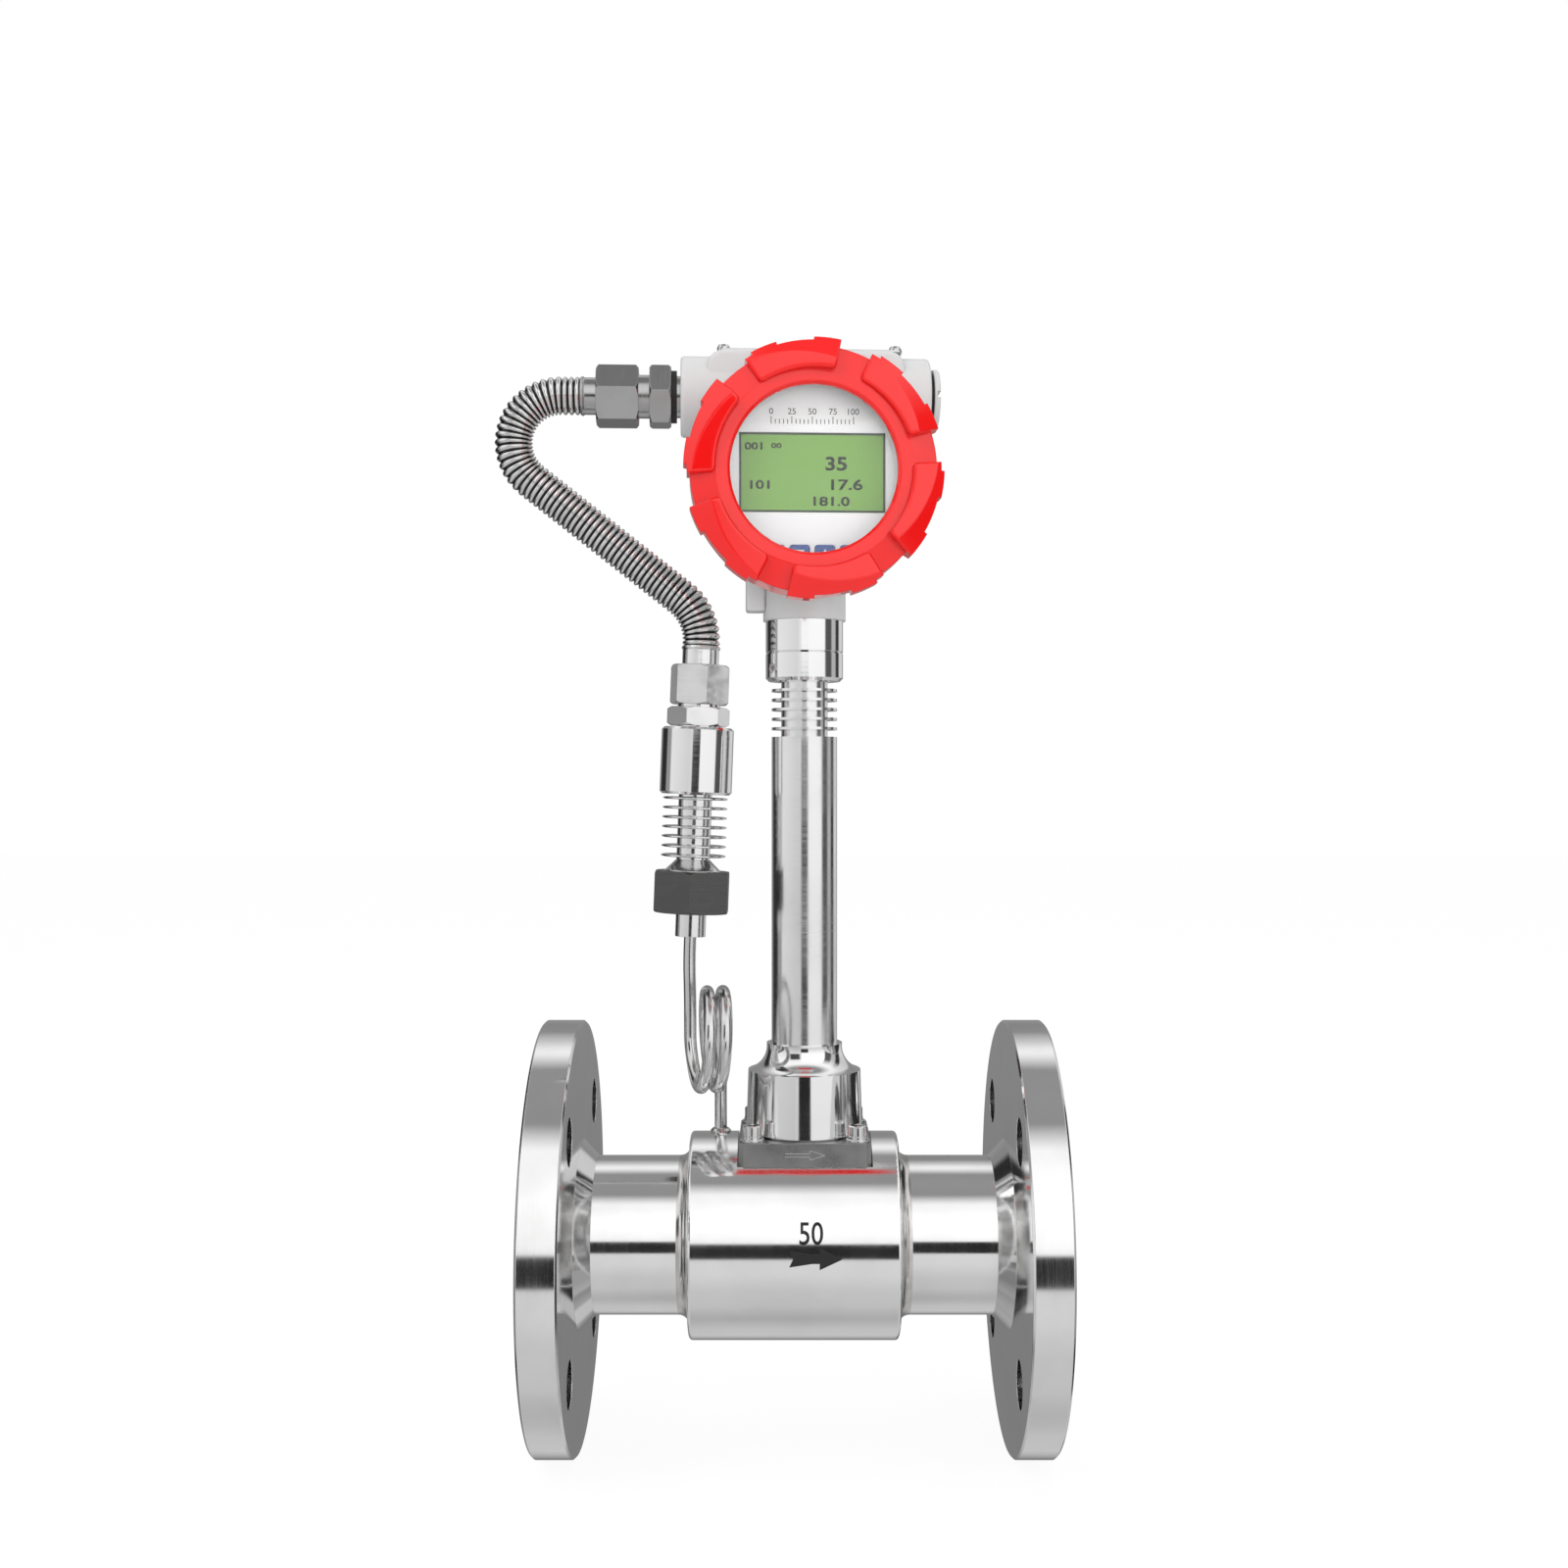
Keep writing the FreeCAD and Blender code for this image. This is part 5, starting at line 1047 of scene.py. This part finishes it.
@dataclass(frozen=True)
class Display:
    """What the screen and the panel show: plain figures, a border, a scale and the keys' symbols.

    Args:
        border_width: Width of the screen's border.
        border_height: Its height.
        border_line: Width of its line.
        scale_left: Left end of the scale.
        scale_foot: Foot of its ticks.
        tick_pitch: Distance between ticks.
        ticks_per_figure: Ticks from one figure to the next.
        tick_long: Length of the ticks at the figures.
        tick_short: Length of the others.
        tick_line: Width of a tick.
        figure_height: Height of the scale's figures.
        figure_middle: Height of their middle.
        bold: How far the strokes of the screen's figures grow.
    """

    border_width: float = 0.0524
    border_height: float = 0.0281
    border_line: float = 0.0007
    scale_left: float = -0.015
    scale_foot: float = 0.0178
    tick_pitch: float = 0.0015
    ticks_per_figure: int = 5
    tick_long: float = 0.0024
    tick_short: float = 0.0014
    tick_line: float = 0.00028
    figure_height: float = 0.0022
    figure_middle: float = 0.0222
    bold: float = 0.035

    def border(self) -> list[Mesh]:
        """A thin rectangle round the screen."""
        w, h = self.border_width / 2, self.border_height / 2
        corners = [(-w, -h), (w, -h), (w, h), (-w, h), (-w, -h)]
        return [FlowMarks.stroke(a, b, self.border_line) for a, b in zip(corners, corners[1:])]

    def tick(self, index: int) -> Mesh:
        """One tick of the scale."""
        x = self.scale_left + self.tick_pitch * index
        length = self.tick_short if index % self.ticks_per_figure else self.tick_long
        return FlowMarks.stroke((x, self.scale_foot), (x, self.scale_foot + length), self.tick_line)

    def scale(self) -> list[Mesh]:
        """A plain scale of ticks over the screen."""
        figures = ("0", "25", "50", "75", "100")
        marks = [self.tick(k) for k in range(self.ticks_per_figure * (len(figures) - 1) + 1)]
        for k, text in enumerate(figures):
            x = self.scale_left + self.ticks_per_figure * self.tick_pitch * k
            marks.append(Lettering.moved(Lettering.flat(text, self.figure_height), x, self.figure_middle))
        return marks

    def symbol(self, index: int) -> Mesh:
        """A plain symbol for one key.

        Args:
            index: The key, from 0 at the left.

        Returns:
            The mesh.
        """
        shapes = (
            [(-0.0016, 0.0), (0.0004, 0.0016), (0.0004, 0.0005), (0.0018, 0.0005), (0.0018, -0.0005),
             (0.0004, -0.0005), (0.0004, -0.0016)],
            [(-0.0017, 0.0012), (0.0017, 0.0012), (0.0, -0.0015)],
            [(-0.0017, -0.0012), (0.0, 0.0015), (0.0017, -0.0012)],
            [(-0.0014, -0.0014), (0.0014, -0.0014), (0.0014, 0.0014), (-0.0014, 0.0014)],
        )
        return Lettering.outline(shapes[index])

    def build(self) -> None:
        """Makes the marks on the screen, the panel and the keys."""
        lines = [Lettering.moved(Lettering.flat(r.text, r.height, r.width, self.bold), r.x, r.y)
                 for r in READOUTS]
        figures = Lettering.raised(Lettering.joined(lines + self.border()), on_panel(SCREEN_OUT))
        scale = Lettering.raised(Lettering.joined(self.scale()), on_panel(PANEL_OUT))
        piece_from_mesh("screen_figures", figures, INK_BLACK, "head")
        piece_from_mesh("panel_scale", scale, INK_BLACK, "head")
        for k in range(KEY_COUNT):
            mark = Lettering.moved(self.symbol(k), (k - (KEY_COUNT - 1) / 2) * KEY_PITCH, -KEY_DROP)
            mesh = Lettering.raised(mark, on_panel(KEY_OUT))
            key = f"key_{k + 1}"
            piece_from_mesh(key + "_symbol", mesh, INK_WHITE, key)


@dataclass(frozen=True)
class Lamp:
    """A soft square lamp that faces the meter.

    Args:
        name: Its name.
        place: Where it stands.
        side: Length of its side.
        power: Its power in watts.
    """

    name: str
    place: Point
    side: float
    power: float

    def build(self) -> None:
        """Hangs the lamp."""
        data = bpy.data.lights.new(self.name, "AREA")
        data.shape = "RECTANGLE"
        data.size = data.size_y = self.side
        data.energy = self.power
        lamp = linked(self.name, data)
        lamp.location = self.place
        lamp.rotation_euler = (LAMP_AIM - Vector(self.place)).to_track_quat("-Z", "Y").to_euler()
        lamp.visible_glossy = False


@dataclass(frozen=True)
class Patch:
    """A grey patch of the surroundings, as the steel sees it; angles are in degrees.

    Args:
        left: Azimuth of its left edge.
        right: Azimuth of its right edge.
        foot: Height of its lower edge.
        top: Height of its upper edge.
        soft_sides: Softness of its sides.
        soft_ends: Softness of its foot and top.
        level: Its grey.
    """

    left: float
    right: float
    foot: float
    top: float
    soft_sides: float
    soft_ends: float
    level: float


LAMP_AIM = Vector((0.1, 0.0, 0.15))
LAMPS = (
    Lamp("key", (-0.7, -1.1, 1.1), 0.8, 6.0),
    Lamp("fill", (0.85, -1.2, 0.42), 0.9, 3.6),
    Lamp("front", (0.30, -1.5, 0.34), 0.5, 2.6),
    Lamp("top", (0.1, 0.1, 1.4), 1.0, 4.4),
)
WALL_LEVELS = (
    (-180, 0.34), (-148, 0.34), (-139, 0.03), (-110, 0.03), (-107, 0.35), (-90, 0.35), (-86, 0.95),
    (-20, 0.80), (-11, 0.95), (-7, 1.15), (62, 1.15), (66, 0.10), (86, 0.10), (90, 0.55), (104, 0.55),
    (108, 0.04), (122, 0.04), (126, 0.8), (150, 0.8), (156, 0.34), (180, 0.34),
)
HEIGHT_LEVELS = (
    (-90, 0.42), (-70, 0.55), (-14, 0.62), (6, 0.90), (30, 1.05), (56, 1.0), (70, 0.28), (90, 0.30),
)
CAMERA_PATCH = Patch(-11.8, 11.8, -13.9, 2.6, 0.8, 0.8, 0.02)
FLAG_PATCH = Patch(-46.0, -14.0, 8.5, 34.0, 3.0, 2.0, 0.06)
WHITE = (1.0, 1.0, 1.0)
BLACK = (0.0, 0.0, 0.0)


@dataclass(frozen=True)
class Studio:
    """Camera, floor, lamps and the surroundings that the steel reflects.

    Args:
        eye: Where the camera stands.
        lens: Its focal length in millimetres.
        sensor: Width of its sensor in millimetres.
        floor_half: Half the floor's side.
        floor_white: Level of the floor as the camera sees it.
        floor_cover: How far that hides the floor's own shade.
        ambient: Level of the surroundings to matt surfaces.
    """

    eye: Point = (0.0962, -0.715, 0.1748)
    lens: float = 42.255
    sensor: float = 36.0
    floor_half: float = 6.0
    floor_white: float = 1.06
    floor_cover: float = 0.85
    ambient: float = 0.72

    def camera(self) -> None:
        """Sets the level camera in front of the meter."""
        data = bpy.data.cameras.new("camera")
        data.sensor_width = self.sensor
        data.lens = self.lens
        data.clip_start, data.clip_end = 0.01, 50.0
        camera = linked("camera", data)
        camera.location = self.eye
        camera.rotation_euler = (math.pi / 2, 0.0, 0.0)
        bpy.context.scene.camera = camera

    def floor(self) -> None:
        """Lays a pale floor that keeps a faint shadow."""
        mesh = bpy.data.meshes.new("floor")
        half = self.floor_half
        left, right = BODY_MIDDLE_X - half, BODY_MIDDLE_X + half
        corners = [(left, -half, FLOOR_Z), (right, -half, FLOOR_Z), (right, half, FLOOR_Z),
                   (left, half, FLOOR_Z)]
        mesh.from_pydata(corners, [], [(0, 1, 2, 3)])
        material = bpy.data.materials.new("floor_pale")
        material.use_nodes = True
        s = Shading(material.node_tree)
        path = s.node("LightPath").outputs
        seen = s.math("MAXIMUM", path["Is Camera Ray"], path["Is Transmission Ray"])
        matt = s.node("BsdfDiffuse", Color=(0.85, 0.85, 0.85, 1.0)).outputs["BSDF"]
        white = s.node("Emission", Color=opaque(WHITE), Strength=self.floor_white).outputs["Emission"]
        surface = s.node("MixShader", Fac=s.math("MULTIPLY", seen, self.floor_cover))
        s.feed(surface.inputs[1], matt)
        s.feed(surface.inputs[2], white)
        s.finish(surface.outputs["Shader"])
        mesh.materials.append(material)
        floor = linked("floor", mesh)
        floor.visible_glossy = False
        floor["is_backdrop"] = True

    def reflected(self, s: Shading) -> Socket:
        """What the steel sees: pale walls with dark stripes, a dark camera and a dark flag.

        Args:
            s: The world's tree.

        Returns:
            The colour of each direction.
        """
        way = s.node("SeparateXYZ", Vector=s.node("TexCoord").outputs["Generated"]).outputs
        azimuth = self.degrees(s, s.math("ARCTAN2", way["X"], s.math("MULTIPLY", way["Y"], -1.0)))
        height = self.degrees(s, s.math("ARCSINE", way["Z"]))
        walls = self.by_angle(s, azimuth, 180.0, WALL_LEVELS)
        steep = s.span(s.math("ABSOLUTE", way["Z"]), 0.52, 0.78)
        scene = s.node("Mix", {"data_type": "RGBA", "blend_type": "MULTIPLY"})
        s.feed(scene.inputs["Factor"], 1.0)
        colours = [socket for socket in scene.inputs if socket.type == "RGBA"]
        s.feed(colours[0], s.mix(steep, walls, WHITE))
        s.feed(colours[1], self.by_angle(s, height, 90.0, HEIGHT_LEVELS))
        around = next(socket for socket in scene.outputs if socket.type == "RGBA")
        behind = s.span(way["Y"], 0.0, 0.4)
        low = s.math("MULTIPLY", self.window(s, height, 9.0, 52.0, 8.0), behind)
        seen = s.mix(s.math("MULTIPLY", low, 0.25), around, BLACK)
        for patch in (FLAG_PATCH, CAMERA_PATCH):
            across = self.window(s, azimuth, patch.left, patch.right, patch.soft_sides)
            up = self.window(s, height, patch.foot, patch.top, patch.soft_ends)
            seen = s.mix(s.math("MULTIPLY", across, up), seen, (patch.level,) * 3)
        return seen

    def surroundings(self) -> None:
        """White to the camera, plain grey to matt surfaces, and a studio to the steel."""
        world = bpy.data.worlds.new("studio")
        world.use_nodes = True
        bpy.context.scene.world = world
        s = Shading(world.node_tree)
        path = s.node("LightPath").outputs
        lit = s.mix(path["Is Glossy Ray"], (self.ambient,) * 3, self.reflected(s))
        seen = s.math("MAXIMUM", path["Is Camera Ray"], path["Is Transmission Ray"])
        shown = s.mix(seen, lit, WHITE)
        s.finish(s.node("Background", Color=shown, Strength=1.0).outputs["Background"], "OutputWorld")

    @staticmethod
    def degrees(s: Shading, angle: Socket) -> Socket:
        """An angle in degrees."""
        return s.math("MULTIPLY", angle, 180 / math.pi)

    @staticmethod
    def by_angle(s: Shading, angle: Socket, limit: float, levels: Sequence[tuple[float, float]]) -> Socket:
        """Greys that change with an angle.

        Args:
            s: The tree.
            angle: The angle in degrees, between minus and plus the limit.
            limit: The limit.
            levels: Pairs of angle and grey level, in order.

        Returns:
            The grey.
        """
        stops = [(0.5 + place / (2 * limit), level) for place, level in levels]
        return s.ramp(s.math("MULTIPLY_ADD", angle, 0.5 / limit, 0.5), stops)

    @staticmethod
    def window(s: Shading, angle: Socket, low: float, high: float, soft: float) -> Socket:
        """1 between two angles and 0 outside, with a soft edge."""
        rise = s.span(angle, low - soft, low + soft)
        fall = s.span(angle, high + soft, high - soft)
        return s.math("MULTIPLY", rise, fall)

    def build(self) -> None:
        """Sets the whole stage."""
        bpy.context.scene.view_settings.view_transform = "Standard"
        self.camera()
        self.floor()
        self.surroundings()
        for lamp in LAMPS:
            lamp.build()


def main() -> None:
    """Builds the looks round the frame."""
    logging.basicConfig(level=logging.INFO)
    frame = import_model()
    dress_nodes(frame["nodes"])
    Conduit().build()
    FlowMarks().build()
    Display().build()
    Studio().build()
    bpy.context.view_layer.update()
    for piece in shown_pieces():
        log.info("piece %s", piece.name)


if __name__ == "__main__":
    main()
